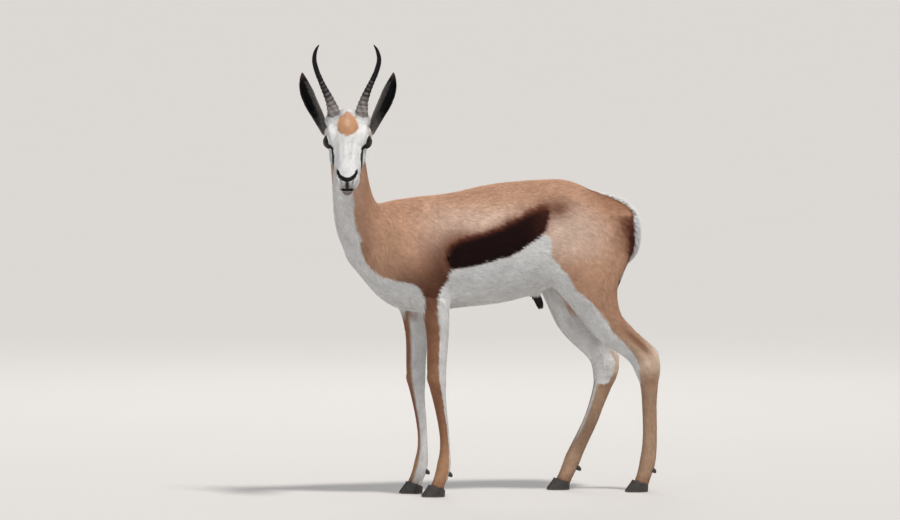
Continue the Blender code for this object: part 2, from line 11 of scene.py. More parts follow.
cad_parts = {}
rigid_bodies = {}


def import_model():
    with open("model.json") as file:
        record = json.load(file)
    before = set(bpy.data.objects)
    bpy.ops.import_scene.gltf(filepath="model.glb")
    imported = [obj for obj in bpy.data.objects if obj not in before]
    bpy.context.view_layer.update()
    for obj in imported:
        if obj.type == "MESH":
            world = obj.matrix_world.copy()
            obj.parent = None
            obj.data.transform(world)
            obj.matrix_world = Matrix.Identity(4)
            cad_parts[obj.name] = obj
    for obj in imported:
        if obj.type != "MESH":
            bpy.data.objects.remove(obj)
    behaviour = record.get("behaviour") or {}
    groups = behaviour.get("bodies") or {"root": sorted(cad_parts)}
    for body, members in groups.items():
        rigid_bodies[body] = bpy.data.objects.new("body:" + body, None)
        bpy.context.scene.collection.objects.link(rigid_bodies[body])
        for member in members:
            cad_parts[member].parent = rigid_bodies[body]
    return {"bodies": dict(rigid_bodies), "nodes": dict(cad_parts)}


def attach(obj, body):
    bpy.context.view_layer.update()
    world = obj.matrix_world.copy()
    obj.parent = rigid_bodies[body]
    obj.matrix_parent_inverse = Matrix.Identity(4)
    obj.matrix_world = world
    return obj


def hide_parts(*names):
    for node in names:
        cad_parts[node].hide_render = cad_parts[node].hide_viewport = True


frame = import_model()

MM = 0.001
ORIGIN = np.array([-69.1, -64.6, 0.0])      # the part frame's origin in the drawing frame, mm
COARSE, FINE = 2.6, 1.55                    # mm, grids on which the forms are joined
SKIN_TRIANGLES = 134000
rng = np.random.default_rng(7)
scene = bpy.context.scene
kept = set(frame["nodes"].values()) | set(frame["bodies"].values())
for old in list(bpy.data.objects):
    if old not in kept:
        bpy.data.objects.remove(old)
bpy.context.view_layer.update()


# ---------------------------------------------------------------- curves through stations
def smooth_steps(x, y, xi):
    """monotone cubic through the stations"""
    x, y, xi = np.asarray(x, float), np.asarray(y, float), np.asarray(xi, float)
    y2 = y if y.ndim == 2 else y[:, None]
    h = np.diff(x)
    d = np.diff(y2, axis=0) / h[:, None]
    m = np.zeros_like(y2)
    m[0], m[-1] = d[0], d[-1]
    w1, w2 = (2 * h[1:] + h[:-1])[:, None], (h[1:] + 2 * h[:-1])[:, None]
    a, b = d[:-1], d[1:]
    safe = a * b > 0
    m[1:-1] = np.where(safe, (w1 + w2) / (w1 / np.where(safe, a, 1) + w2 / np.where(safe, b, 1)), 0)
    k = np.clip(np.searchsorted(x, xi, side="right") - 1, 0, len(x) - 2)
    t, hk = ((xi - x[k]) / h[k])[:, None], h[k][:, None]
    r = ((2 * t**3 - 3 * t**2 + 1) * y2[k] + (t**3 - 2 * t**2 + t) * hk * m[k]
         + (3 * t**2 - 2 * t**3) * y2[k + 1] + (t**3 - t**2) * hk * m[k + 1])
    return r if y.ndim == 2 else r[:, 0]


def flowing(x, y, xi):
    """cubic through the stations, rounding every corner"""
    x, y = np.asarray(x, float), np.asarray(y, float)
    m = np.gradient(y, x, axis=0)
    k = np.clip(np.searchsorted(x, xi, side="right") - 1, 0, len(x) - 2)
    h = np.diff(x)
    t, hk = ((xi - x[k]) / h[k])[:, None], h[k][:, None]
    return ((2 * t**3 - 3 * t**2 + 1) * y[k] + (t**3 - 2 * t**2 + t) * hk * m[k]
            + (3 * t**2 - 2 * t**3) * y[k + 1] + (t**3 - t**2) * hk * m[k + 1])


def power(c, p):
    return np.sign(c) * np.abs(c) ** (2.0 / p)


def along(points):
    return np.r_[0, np.cumsum(np.linalg.norm(np.diff(points, axis=0), axis=1))]


def unit(v):
    v = np.asarray(v, float)
    return v / np.maximum(np.linalg.norm(v, axis=-1, keepdims=True), 1e-9)


def tangents(c, s):
    return unit(np.gradient(c, s, axis=0))


def turn_round(m):
    return np.linspace(0, 2 * math.pi, m, endpoint=False)


def ramp(x, a, b):
    t = np.clip((x - a) / (b - a), 0, 1)
    return t * t * (3 - 2 * t)


def loft(rings):
    """closed skin over a row of rings, a fan at each end"""
    n, m, _ = rings.shape
    a = np.arange(m)
    b = (a + 1) % m
    faces = [tuple(q) for i in range(n - 1)
             for q in np.stack([i * m + a, i * m + b, (i + 1) * m + b, (i + 1) * m + a], 1).tolist()]
    faces += [(n * m, int(j), int(i)) for i, j in zip(a, b)]
    faces += [(n * m + 1, (n - 1) * m + int(i), (n - 1) * m + int(j)) for i, j in zip(a, b)]
    return np.concatenate([rings.reshape(-1, 3), rings[:1].mean(1), rings[-1:].mean(1)]), faces


def oval(m, side, upper, lower, p_up, p_low):
    a = turn_round(m)
    c, s = np.cos(a), np.sin(a)
    return np.stack([side * np.where(s >= 0, power(c, p_up), power(c, p_low)),
                     np.where(s >= 0, upper * power(s, p_up), lower * power(s, p_low))], 1)


def ellipsoid(centre, radii, axes=np.eye(3), n=26, m=36):
    a = turn_round(m)
    rings = [np.array(centre) + (np.stack([np.sin(t) * np.cos(a), np.sin(t) * np.sin(a), np.full(m, np.cos(t))], 1)
                                 * radii) @ np.array(axes, float)
             for t in np.linspace(math.pi, 0, n + 1)[1:-1]]
    return loft(np.array(rings))


def tube(points, radii, step, m, side=(0, 1, 0)):
    p = np.array(points, float)
    d = along(p)
    s = np.linspace(0, d[-1], max(4, int(d[-1] / step)))
    c, rr = flowing(d, p, s), smooth_steps(d, radii, s)
    a = turn_round(m)
    rings = []
    for q, t, k in zip(c, tangents(c, s), rr):
        l = unit(np.array(side, float) - np.dot(side, t) * t)
        rings.append(q + k * np.cos(a)[:, None] * l + k * np.sin(a)[:, None] * np.cross(t, l))
    return loft(np.array(rings))


# ---------------------------------------------------------------- the same stations as the part's
# x, top, bottom, half width, height of the widest line, upper and lower fullness
TRUNK = [
    (-408, 640, 606, 14, 624, 2.0, 2.0), (-398, 672, 588, 34, 624, 2.0, 2.0), (-378, 700, 566, 50, 622, 2.0, 2.0),
    (-350, 722, 533, 63, 616, 2.0, 2.0), (-320, 737, 500, 74, 610, 2.0, 2.1), (-285, 747, 476, 83, 606, 2.0, 2.2),
    (-245, 752, 462, 88, 606, 2.0, 2.2), (-205, 757, 460, 91, 608, 2.0, 2.2), (-157, 760, 463, 94, 608, 2.05, 2.2),
    (-105, 768, 469, 97, 608, 2.1, 2.2), (-52, 780, 473, 99, 608, 2.1, 2.2), (0, 788, 479, 100, 610, 2.1, 2.2),
    (53, 792, 490, 98, 614, 2.1, 2.2), (105, 795, 507, 93, 630, 2.1, 2.1), (158, 796, 530, 88, 660, 2.1, 2.0),
    (185, 791, 545, 86, 665, 2.1, 2.0), (211, 781, 555, 84, 665, 2.1, 2.0), (238, 768, 562, 82, 660, 2.1, 2.0),
    (264, 758, 566, 79, 656, 2.05, 2.0), (291, 751, 568, 73, 652, 2.0, 2.0), (317, 742, 570, 64, 648, 2.0, 2.0),
    (338, 729, 576, 52, 645, 2.0, 2.0), (352, 711, 588, 36, 644, 2.0, 2.0), (360, 686, 606, 18, 644, 2.0, 2.0),
    (363, 666, 624, 6, 644, 2.0, 2.0),
]


def trunk_form(step=6, m=72):
    t = np.array(TRUNK, float)
    xs = np.linspace(t[0, 0], t[-1, 0], int(np.ptp(t[:, 0]) / step))
    rings = []
    for x, (top, low, w, mid, pu, pl) in zip(xs, smooth_steps(t[:, 0], t[:, 1:], xs)):
        s = oval(m, w, top - mid, mid - low, pu, pl)
        rings.append(np.stack([np.full(m, x), s[:, 0], mid + s[:, 1]], 1)[::-1])
    return loft(np.array(rings))


# centre x, y, z, half depth to the throat, to the nape, half width, turn of the throat in degrees
NECK = [
    (-232, 0, 628, 112, 104, 62, 0), (-278, 0, 636, 104, 94, 66, 0), (-322, -3, 652, 92, 82, 66, 3),
    (-356, -8, 676, 77, 69, 61, 8), (-376, -16, 706, 66, 61, 56, 14), (-389, -26, 738, 59, 56, 52, 22),
    (-398, -36, 770, 56, 54, 48, 30), (-405, -46, 805, 55, 53, 46, 40), (-411, -56, 840, 55, 51, 45, 50),
    (-416, -66, 876, 55, 48, 44, 60), (-421, -80, 908, 50, 43, 42, 68), (-426, -98, 932, 40, 34, 38, 74),
]


def neck_stations(step):
    """points down the neck: centre, way along, way to the throat, way to the side, table row, place in the table"""
    t = np.array(NECK, float)
    d = along(t[:, :3])
    s = np.linspace(0, d[-1], int(d[-1] / step))
    q = flowing(d, t, s)
    t0 = tangents(q[:, :3], s)
    a = np.radians(q[:, 6])
    v = np.stack([-np.cos(a), -np.sin(a), 0 * a], 1)
    v = unit(v - (v * t0).sum(1, keepdims=True) * t0)
    return q[:, :3], t0, v, np.cross(t0, v), q, np.interp(s, d, np.arange(len(t)))


def neck_form(step=6, m=56):
    rings = []
    for c, v, l, row in zip(*[x for i, x in enumerate(neck_stations(step)) if i in (0, 2, 3, 4)]):
        sec = oval(m, row[5], row[3], row[4], 2.0, 2.0)
        rings.append(c + sec[:, :1] * l + sec[:, 1:] * v)
    return loft(np.array(rings))


# joints counted from the top and shares between them: half depth forward, backward, half width, fullness
FORE = [
    (0.00, 40, 44, 14, 2.0), (0.40, 60, 66, 28, 2.0), (0.80, 62, 74, 34, 2.0), (1.00, 58, 80, 36, 2.0),
    (1.40, 52, 72, 36, 2.0), (1.75, 46, 54, 34, 2.0), (2.00, 41, 43, 32, 2.0), (2.30, 34, 34, 28, 2.0),
    (2.60, 28.5, 28.5, 24, 2.1), (2.85, 26, 25, 22, 2.3), (3.00, 25, 23.5, 22.5, 2.4), (3.08, 22, 22, 21.5, 2.3),
    (3.22, 18, 18, 17, 2.1), (3.45, 14.5, 15, 13.5, 2.1), (3.70, 13, 13, 12.5, 2.1), (3.88, 14.5, 15, 15, 2.1),
    (4.00, 17, 19, 18.5, 2.1), (4.35, 16.5, 20, 18.5, 2.1), (4.75, 17.5, 17, 18, 2.1), (5.00, 20, 16, 19.5, 2.2),
]
HIND = [
    (0.00, 80, 84, 28, 2.0), (0.35, 108, 112, 42, 2.0), (0.70, 112, 112, 48, 2.0), (1.00, 98, 98, 48, 2.0),
    (1.20, 82, 82, 45, 2.0), (1.50, 66, 66, 40, 2.0), (2.00, 50, 52, 31, 1.9), (2.40, 40, 42, 25, 1.8),
    (2.75, 36, 38, 20.5, 1.8), (3.00, 36, 40, 21, 1.9), (3.25, 32, 33, 21, 2.0), (3.50, 24, 24, 18, 2.1),
    (4.00, 19.5, 20, 14.5, 2.1), (4.45, 19, 20, 13.5, 2.1), (4.80, 19.5, 21, 15.5, 2.1), (5.00, 20, 22, 19, 2.1),
    (5.40, 18.5, 20.5, 18.5, 2.1), (5.75, 18.5, 18, 18, 2.1), (6.00, 20, 16, 19.5, 2.2),
]
JOINTS = {
    "front_left": [(-238, -44, 716), (-262, -62, 600), (-190, -60, 478), (-182, -60, 298), (-165, -60, 80), (-184, -60, 10)],
    "front_right": [(-238, 44, 716), (-268, 62, 600), (-209, 60, 470), (-203, 58, 292), (-191, 58, 78), (-212, 58, 10)],
    "hind_left": [(226, -44, 700), (216, -60, 540), (256, -66, 436), (366, -62, 327), (377, -60, 211), (372, -60, 78), (353, -60, 10)],
    "hind_right": [(226, 44, 700), (196, 60, 540), (208, 66, 444), (297, 62, 318), (268, 60, 200), (210, 60, 78), (181, 60, 10)],
}


def limb_stations(leg, step):
    """centre, way down, way to the side, way forward, half depths and width, joint count"""
    j = np.array(JOINTS[leg], float)
    t = np.array(FORE if leg.startswith("front") else HIND, float)
    length = along(j)
    s = np.linspace(0, length[-1], int(length[-1] / step))
    c = flowing(length, j, s)
    q = smooth_steps(np.interp(t[:, 0], np.arange(len(j)), length), t[:, 1:], s)
    t0 = tangents(c, s)
    l = unit(np.array([0.0, 1.0, 0.0]) - t0[:, 1:2] * t0)
    v = np.cross(l, t0)
    v *= -np.sign(v[:, :1])
    return c, t0, l, v, q, np.interp(s, length, np.arange(len(j)))


def limb_form(leg, step=5, m=44):
    rings = []
    for p, t0, l, v, (f, b, w, e), _ in zip(*limb_stations(leg, step)):
        sec = oval(m, w, f, b, e, e)
        r = p + sec[:, :1] * l + sec[:, 1:] * v
        rings.append(r[::-1] if np.dot(np.cross(l, v), t0) < 0 else r)
    return loft(np.array(rings))


# head frame: u down the face, v to the animal's left, w out of the brow
TURN, PITCH = math.radians(73.9), math.radians(57.0)
UP = np.array([0.0, 0.0, 1.0])
AHEAD = np.array([-math.cos(TURN), -math.sin(TURN), 0.0])
U = AHEAD * math.cos(PITCH) - UP * math.sin(PITCH)
V = np.cross(UP, AHEAD)
W = UP * math.cos(PITCH) + AHEAD * math.sin(PITCH)
UVW = np.array([U, V, W])
POLL = np.array([-438.0, -150.0, 965.0])      # between the horns' front edges


def in_head(u, v, w):
    return POLL + u * U + v * V + w * W


def head_place(p):
    """u, v, w of points"""
    return (p - POLL) @ UVW.T


def from_poll(across, ahead, up):
    return POLL + np.outer(across, V) + np.outer(ahead, AHEAD) + np.outer(up, UP)


# u, top, bottom, half widths at the brow, cheek and jaw lines
HEAD = [
    (-34, -64, -78, 6, 10, 8), (-30, -56, -88, 18, 22, 18), (-20, -40, -102, 33, 36, 30), (-10, -18, -112, 40, 42, 34),
    (0, 0, -117, 45, 44, 36), (15, 6, -119, 49, 46, 36), (35, 5, -116, 50, 46, 34), (55, 2, -108, 47, 45, 32),
    (75, -1, -98, 41, 44, 31), (95, -3, -89, 36.5, 42.5, 30), (115, -4, -82, 33, 39.5, 29), (135, -5, -78, 30.5, 35.5, 27),
    (155, -8, -77, 28, 30.5, 23.5), (170, -13, -76, 26, 28, 21), (181, -21, -74, 21, 25, 18), (189, -33, -68, 12, 16, 12),
    (192, -44, -60, 5, 7, 5),
]


def head_form(step=3, m=72):
    t = np.array(HEAD, float)
    us = np.linspace(t[0, 0], t[-1, 0], int(np.ptp(t[:, 0]) / step))
    rings = []
    for u, (top, low, w1, w2, w3) in zip(us, smooth_steps(t[:, 0], t[:, 1:], us)):
        share = np.array([0.0, 0.04, 0.22, 0.48, 0.80, 0.97, 1.0])
        side = np.array([0.0, w1 * 0.55, w1, w2, w3, w3 * 0.55, 0.0])
        pts = np.stack([side, top - share * (top - low)], 1)
        d = along(pts)
        ext = np.concatenate([[[-pts[1, 0], pts[1, 1]]], pts, [[-pts[-2, 0], pts[-2, 1]]]])
        half = flowing(np.concatenate([[-d[1]], d, [2 * d[-1] - d[-2]]]), ext, np.linspace(0, d[-1], m // 2 + 1))
        ring = np.concatenate([half, (half[1:-1] * [-1, 1])[::-1]])
        rings.append([in_head(u, a, b) for a, b in ring[::-1]])
    return loft(np.array(rings))


EYE = (62.0, 42.5, -30.0)
EYE_RADIUS = 16.5
# centres u, v, w and radii, both sides
HEAD_SIDES = {
    "brow": ((48, 39, -15), (27, 16, 13)), "orbit": ((61, 39.5, -30), (27, 17.5, 24)), "cheek": ((84, 34, -50), (36, 12, 14)),
    "jaw": ((32, 33, -80), (38, 14, 32)), "ear_root": ((22, 43, -58), (20, 17, 24)), "horn_seat": ((-4, 32, -12), (17, 18, 13)),
    "temple": ((8, 42, -24), (20, 15, 18)),
    "upper_lip": ((160, 19, -46), (26, 12.5, 17)), "nostril": ((171, 16, -28), (15, 11, 13)),
}
HEAD_MIDDLE = {
    "nose": ((177, 0, -28), (14, 17, 16)), "chin": ((178, 0, -66), (18, 15, 13)), "lower_lip": ((152, 0, -62), (32, 20, 15)),
    "forehead": ((20, 0, -4), (40, 26, 12)),
}
# centres x, y, z, radii and turn about the side axis, both sides
BODY_SIDES = {
    "shoulder": ((-222, 66, 590), (50, 27, 78), 12), "upper_arm": ((-180, 64, 548), (36, 25, 54), -20),
    "breast_point": ((-292, 48, 588), (34, 30, 38), 0), "blade": ((-205, 50, 690), (40, 24, 56), 12),
    "hip": ((178, 56, 738), (34, 24, 26), 0), "thigh": ((228, 62, 636), (92, 36, 92), -18),
    "buttock": ((316, 38, 655), (42, 33, 78), 6), "flank_fold": ((118, 72, 582), (44, 14, 50), 35),
}


def head_forms():
    forms = [head_form()]
    for (u, v, w), r in HEAD_SIDES.values():
        forms += [ellipsoid(in_head(u, y * v, w), r, [U, V, W]) for y in (-1, 1)]
    for (u, v, w), r in HEAD_MIDDLE.values():
        forms.append(ellipsoid(in_head(u, v, w), r, [U, V, W]))
    return forms


def body_forms():
    forms = [trunk_form(), neck_form()] + head_forms() + [limb_form(leg) for leg in JOINTS]
    for leg, j in JOINTS.items():
        if leg.startswith("hind"):      # heel cord and point of the hock
            a, b, c = (np.array(j[i], float) for i in (2, 3, 4))
            t = unit(b - a)
            back = np.cross([0, 1, 0], t)
            back *= np.sign(back[0])
            forms.append(tube([a + back * 34 - t * 10, a * 0.45 + b * 0.55 + back * 35, b + back * 29,
                               b + back * 9 + (c - b) * 0.35, c + [10, 0, 0]], [12, 9, 12.5, 12, 9], 5, 20))
            forms.append(ellipsoid(b + t * 4 + back * 37, (9, 9, 9)))      # point of the hock
        else:                           # point of the elbow
            forms.append(ellipsoid(np.array(j[2], float) + [32, 0, 20], (17, 14, 27)))
    for c, r, turn in BODY_SIDES.values():
        a = math.radians(turn)
        axes = [[math.cos(a), 0, math.sin(a)], [0, 1, 0], [-math.sin(a), 0, math.cos(a)]]
        forms += [ellipsoid((c[0], y * c[1], c[2]), r, axes) for y in (-1, 1)]
    forms.append(tube([(84, 0, 522), (94, 0, 503), (102, 0, 484), (107, 0, 467)], [16, 15, 12, 9], 4, 20))   # sheath
    return forms


# ---------------------------------------------------------------- mesh helpers
def new_object(name, points, faces):
    mesh = bpy.data.meshes.new(name)
    mesh.from_pydata(((np.asarray(points) - ORIGIN) * MM).tolist(), [], faces)
    mesh.validate()
    obj = bpy.data.objects.new(name, mesh)
    scene.collection.objects.link(obj)
    return obj


def out_facing(obj):
    bm = bmesh.new()
    bm.from_mesh(obj.data)
    bmesh.ops.recalc_face_normals(bm, faces=bm.faces)
    bm.to_mesh(obj.data)
    bm.free()


def joined(name, forms):
    points, faces, count = [], [], 0
    for v, f in forms:
        points.append(v)
        faces += [tuple(int(i) + count for i in q) for q in f]
        count += len(v)
    obj = new_object(name, np.concatenate(points), faces)
    out_facing(obj)
    return obj


def settled(obj):
    graph = bpy.context.evaluated_depsgraph_get()
    mesh = bpy.data.meshes.new_from_object(obj.evaluated_get(graph))
    obj.modifiers.clear()
    obj.data = mesh
    return obj


def places(mesh):
    co = np.empty(len(mesh.vertices) * 3, np.float32)
    mesh.vertices.foreach_get("co", co)
    return co.reshape(-1, 3).astype(float) / MM + ORIGIN


def put(mesh, p):
    mesh.vertices.foreach_set("co", ((p - ORIGIN) * MM).astype(np.float32).ravel())
    mesh.update()


def normals(mesh):
    n = np.empty(len(mesh.vertices) * 3, np.float32)
    mesh.vertices.foreach_get("normal", n)
    return n.reshape(-1, 3).astype(float)


def remeshed(obj, voxel):
    r = obj.modifiers.new("join", "REMESH")
    r.mode, r.voxel_size = "VOXEL", voxel * MM
    return settled(obj)


def smoothed(mesh, p, weight, rounds):
    """plain rounding, by weight"""
    e = np.empty(len(mesh.edges) * 2, np.int32)
    mesh.edges.foreach_get("vertices", e)
    e = e.reshape(-1, 2)
    a, b = np.concatenate([e[:, 0], e[:, 1]]), np.concatenate([e[:, 1], e[:, 0]])
    b = b[np.argsort(a, kind="stable")]
    degree = np.bincount(a, minlength=len(p))
    start = np.r_[0, np.cumsum(degree)[:-1]]
    k = 0.5 * weight[:, None]
    for _ in range(rounds):
        p = p + k * (np.add.reduceat(p[b], start, axis=0) / degree[:, None] - p)
    return p


def headness(p):
    """1 on the head, 0 from the throat down"""
    d = p - POLL
    return ramp(d @ U, -20, 25) * ramp(d @ AHEAD, -95, -55)


def distance_to(p, line):
    """distance from points to a row of points joined by straight lines, and the place along it from 0 to 1"""
    line = np.asarray(line, float)
    d = along(line)
    best, place = np.full(len(p), 1e9), np.zeros(len(p))
    for i in range(len(line) - 1):
        a, b = line[i], line[i + 1]
        k = np.clip((p - a) @ (b - a) / max((b - a) @ (b - a), 1e-9), 0, 1)
        r = np.linalg.norm(p - a - k[:, None] * (b - a), axis=1)
        near = r < best
        best[near], place[near] = r[near], ((d[i] + k * (d[i + 1] - d[i])) / d[-1])[near]
    return best, place


def inside_by(xy, outline):
    """signed distance to a closed outline in the plane: below 0 inside"""
    o = np.asarray(outline, float)
    best = np.full(len(xy), 1e9)
    inside = np.zeros(len(xy), bool)
    for a, b in zip(o, np.roll(o, -1, axis=0)):
        e = b - a
        k = np.clip(((xy - a) @ e) / max(e @ e, 1e-9), 0, 1)
        best = np.minimum(best, np.linalg.norm(xy - a - k[:, None] * e, axis=1))
        if a[1] != b[1]:
            crosses = ((a[1] > xy[:, 1]) != (b[1] > xy[:, 1])) & \
                (xy[:, 0] < (b[0] - a[0]) * (xy[:, 1] - a[1]) / (b[1] - a[1]) + a[0])
            inside ^= crosses
    return np.where(inside, -best, best)


# ---------------------------------------------------------------- ears and tail
# across, ahead, up from the poll, half width, cup depth, turn of the opening outward in degrees
EAR = [
    (-36, -52, -76, 11, 9, 20), (-46, -50, -61, 11.5, 10, 24), (-57, -47, -42, 12.5, 12, 28), (-67, -44, -22, 14.5, 14, 30),
    (-77.5, -43, 0, 16.5, 15, 26), (-88.5, -43, 21, 18.2, 15, 22), (-98.5, -43, 44, 18.6, 13, 18), (-106, -43, 65, 16, 10, 14),
    (-110, -43, 81, 11.5, 6, 10), (-112.5, -43, 95, 6.2, 3, 8), (-113.5, -43, 103.5, 1.8, 1.2, 8),
]
EAR_SWEEP = 1.45


def ear_stations(side, step):
    """centre, way to the tip, way across, way into the opening, half width and cup, share of the length"""
    t = np.array(EAR, float)
    p = from_poll(t[:, 0] * -side, t[:, 1], t[:, 2])
    d = along(p)
    s = np.linspace(0, d[-1], int(d[-1] / step))
    c, q = flowing(d, p, s), smooth_steps(d, t[:, 3:], s)
    t0 = tangents(c, s)
    a = np.radians(q[:, 2:3]) * side
    f = AHEAD * np.cos(a) + V * np.sin(a)
    f = unit(f - (f * t0).sum(1, keepdims=True) * t0)
    return c, t0, np.cross(f, t0), f, q, s / d[-1]


def ear_form(side, step=2.0, m=34):
    x = np.linspace(-1, 1, m)
    bend = (np.cos(x * EAR_SWEEP) - math.cos(EAR_SWEEP)) / (1 - math.cos(EAR_SWEEP))
    across = np.sin(x * EAR_SWEEP) / math.sin(EAR_SWEEP)
    rings = []
    for o, t0, l, f, (half, cup, _), _ in zip(*ear_stations(side, step)):
        wall = min(2.5, 0.40 * half)
        line = np.stack([(half - wall) * across, wall - cup * bend], 1)
        way = unit(np.gradient(line, axis=0))
        out = np.stack([way[:, 1], -way[:, 0]], 1)
        a = np.linspace(-math.pi / 2, math.pi / 2, 7)[1:-1]
        end = line[-1] + wall * (np.sin(a)[:, None] * -out[-1] + np.cos(a)[:, None] * way[-1])
        start = line[0] + wall * (np.sin(a)[:, None] * out[0] - np.cos(a)[:, None] * way[0])
        ring = np.concatenate([line + wall * out, end, (line - wall * out)[::-1], start])
        rings.append(o + ring[:, :1] * l + ring[:, 1:] * f)
    return loft(np.array(rings))


TAIL = [(328, 0, 706, 8), (342, 0, 700, 9.5), (350, 0, 680, 10), (349, 0, 645, 10), (340, -1, 608, 9.5),
        (328, -2, 572, 9), (315, -3, 540, 8.5), (305, -4, 516, 7), (297, -5, 500, 4)]

# ---------------------------------------------------------------- one body
body = joined("rough_form", body_forms())
remeshed(body, COARSE)
p = places(body.data)
weight = (0.05 + 0.95 * ramp(p[:, 2], 330, 500)) * (1 - 0.95 * headness(p))
p = smoothed(body.data, p, weight, int(15.0**2 / (0.25 * COARSE**2)))
put(body.data, p)

tail_table = np.array(TAIL, float)
def heel_forms():
    """the heel cord and the point of the hock again, as the coarse smoothing rounds them"""
    forms = []
    for leg in ("hind_left", "hind_right"):
        a, b, c = (np.array(JOINTS[leg][i], float) for i in (2, 3, 4))
        t = unit(b - a)
        back = np.cross([0, 1, 0], t)
        back *= np.sign(back[0])
        cord = a * 0.45 + b * 0.55 + back * 37.5
        forms.append(tube([cord, a * 0.2 + b * 0.8 + back * 37, b + t * 4 + back * 37.5, b + back * 24 + (c - b) * 0.14, b + back * 12 + (c - b) * 0.40],
                          [5.0, 5.6, 7.2, 8, 7], 3, 24))
    return forms


fine = joined("fine_form", head_forms() + heel_forms() + [tube([(90, 0, 512), (97, 0, 498), (103, 0, 484), (107, 0, 470)], [13, 12.5, 11.5, 9.5], 3, 24),
                                           ear_form(-1), ear_form(1), tube(tail_table[:, :3], tail_table[:, 3], 4, 20)])
for obj in list(bpy.context.selected_objects):
    obj.select_set(False)
for obj in (body, fine):
    obj.select_set(True)
bpy.context.view_layer.objects.active = body
bpy.ops.object.join()
remeshed(body, FINE)
p = places(body.data)


# ---------------------------------------------------------------- where things are
THROAT = POLL + AHEAD * -58 + UP * -115
HEAD_BACK = -(AHEAD * 0.91 + UP * 0.414)          # outward from the head into the neck
NECK_FOOT, NECK_DOWN = np.array([-352, -8, 680.0]), np.array([0.62, 0.15, -0.77])
FEET = {"front_left": (-222, -165, -60), "front_right": (-247, -190, 58), "hind_left": (314, 370, -60), "hind_right": (143, 199, 60)}
CORONET_TOE, CORONET_HEEL = 31.0, 17.0
CLEFT = 0.9


def coronet(foot):
    """the plane over the claws: point and the normal that points to the ground"""
    toe, heel, y = FEET[foot]
    toe += 18
    n = unit([CORONET_HEEL - CORONET_TOE, 0, toe - heel])
    return np.array([heel, y, CORONET_HEEL], float), n * np.sign(-n[2])


LEG_LINES = {leg: limb_stations(leg, 4) for leg in JOINTS}
NECK_LINE = neck_stations(5)
EAR_LINES = {side: ear_stations(side, 3) for side in (-1, 1)}


def nearest_station(p, centres):
    """index of the nearest centre, in blocks to spare memory"""
    found = np.empty(len(p), int)
    c2 = (centres**2).sum(1)
    for i in range(0, len(p), 40000):
        q = p[i:i + 40000]
        found[i:i + 40000] = (c2 - 2 * q @ centres.T).argmin(1)
    return found


def sort_out(p):
    """which part of the animal each point is on, by number: 0 trunk, 1 neck, 2 head, 3 tail, 4 and 5 ears, 6 to 9 legs"""
    part = np.zeros(len(p), int)
    part[((p - NECK_FOOT) @ NECK_DOWN < 0) & (p[:, 0] < -300)] = 1
    for i, leg in enumerate(JOINTS):
        side = -1 if leg.endswith("left") else 1
        if leg.startswith("front"):
            planes = [((0, side * 22, 452), (0, -side * 58, 78)), ((-110, 0, 0), (1, 0, 0)), ((0, side * 2, 0), (0, -side, 0))]
        else:
            planes = [((0, side * 8, 522), (0, -side * 140, 87)), ((95, 0, 530), (-150, 0, 55)), ((0, side * 6, 0), (0, -side, 0))]
        inside = np.ones(len(p), bool)
        for point, n in planes:
            inside &= (p - np.array(point, float)) @ np.array(n, float) < 0
        part[inside] = 6 + i
    part[((p - THROAT) @ HEAD_BACK < 0) & (p[:, 2] > 700) & (p[:, 0] < -330)] = 2
    r, _ = distance_to(p, tail_table[:, :3])
    part[(r < np.where(p[:, 2] < 570, 9.8, 11.5)) & (p[:, 0] > np.where(p[:, 2] < 570, 285, 322)) & (p[:, 2] < 704) & (np.abs(p[:, 1]) < 22)] = 3
    for side in (-1, 1):
        c, t0, l, f, q, share = EAR_LINES[side]
        near = np.where((np.abs(p[:, 2] - 990) < 110) & (part != 0))[0]
        k = nearest_station(p[near], c)
        d = p[near] - c[k]
        reach = np.linalg.norm(d, axis=1)
        deep = (d * f[k]).sum(1)
        hit = (np.abs((d * l[k]).sum(1)) < q[k, 0] + 2.5) & (reach < q[k, 0] + 7) & (deep > -q[k, 1] - 4) & (deep < 7) & (share[k] > 0.17)
        part[near[hit]] = 4 if side < 0 else 5
    return part


def coat_depth(p, part):
    """mm from the skin to the coat's tips"""
    depth = np.full(len(p), 3.2)
    depth[part == 1] = 3.0
    h = head_place(p)
    depth[part == 2] = (1.1 + 1.3 * ramp(-h[:, 0], -45, 5))[part == 2]
    depth[part == 3] = 4.2
    depth[(part == 4) | (part == 5)] = 0.7
    low = part >= 6
    depth[low] = (1.2 + 2.0 * ramp(p[:, 2], 250, 480))[low]
    return depth


part = sort_out(p)
soft = 0.9 * np.ones(len(p))
soft[part == 2] = 0.7
soft[(part == 4) | (part == 5)] = 0.45
p = smoothed(body.data, p, soft, 9)
put(body.data, p)
n = normals(body.data)
depth = smoothed(body.data, coat_depth(p, part)[:, None], np.ones(len(p)), 12)[:, 0]
p = p - n * depth[:, None]
put(body.data, p)

# a finer net on the face, wider over the body
group = body.vertex_groups.new(name="thin")
h = head_place(p)
keep = 0.10 + 0.14 * (1 - ramp(p[:, 2], 330, 480))
keep[part == 2] = (0.42 + 0.5 * ramp(h[:, 0], 20, 60))[part == 2]
keep[(part == 4) | (part == 5)] = 0.45
keep[part == 3] = 0.25
keep = smoothed(body.data, keep[:, None], np.ones(len(p)), 8)[:, 0]
for level in range(1, 21):
    share = level / 20.0
    which = np.where(np.round(keep * 20) == level)[0]
    if len(which):
        group.add(which.tolist(), 1.0 - share, "REPLACE")
thin = body.modifiers.new("thin", "DECIMATE")
thin.ratio = SKIN_TRIANGLES / (2 * len(body.data.polygons))
thin.vertex_group, thin.vertex_group_factor = "thin", 4.0
settled(body)
body.vertex_groups.clear()
print("SKIN", len(body.data.polygons), "from", len(p) * 2)


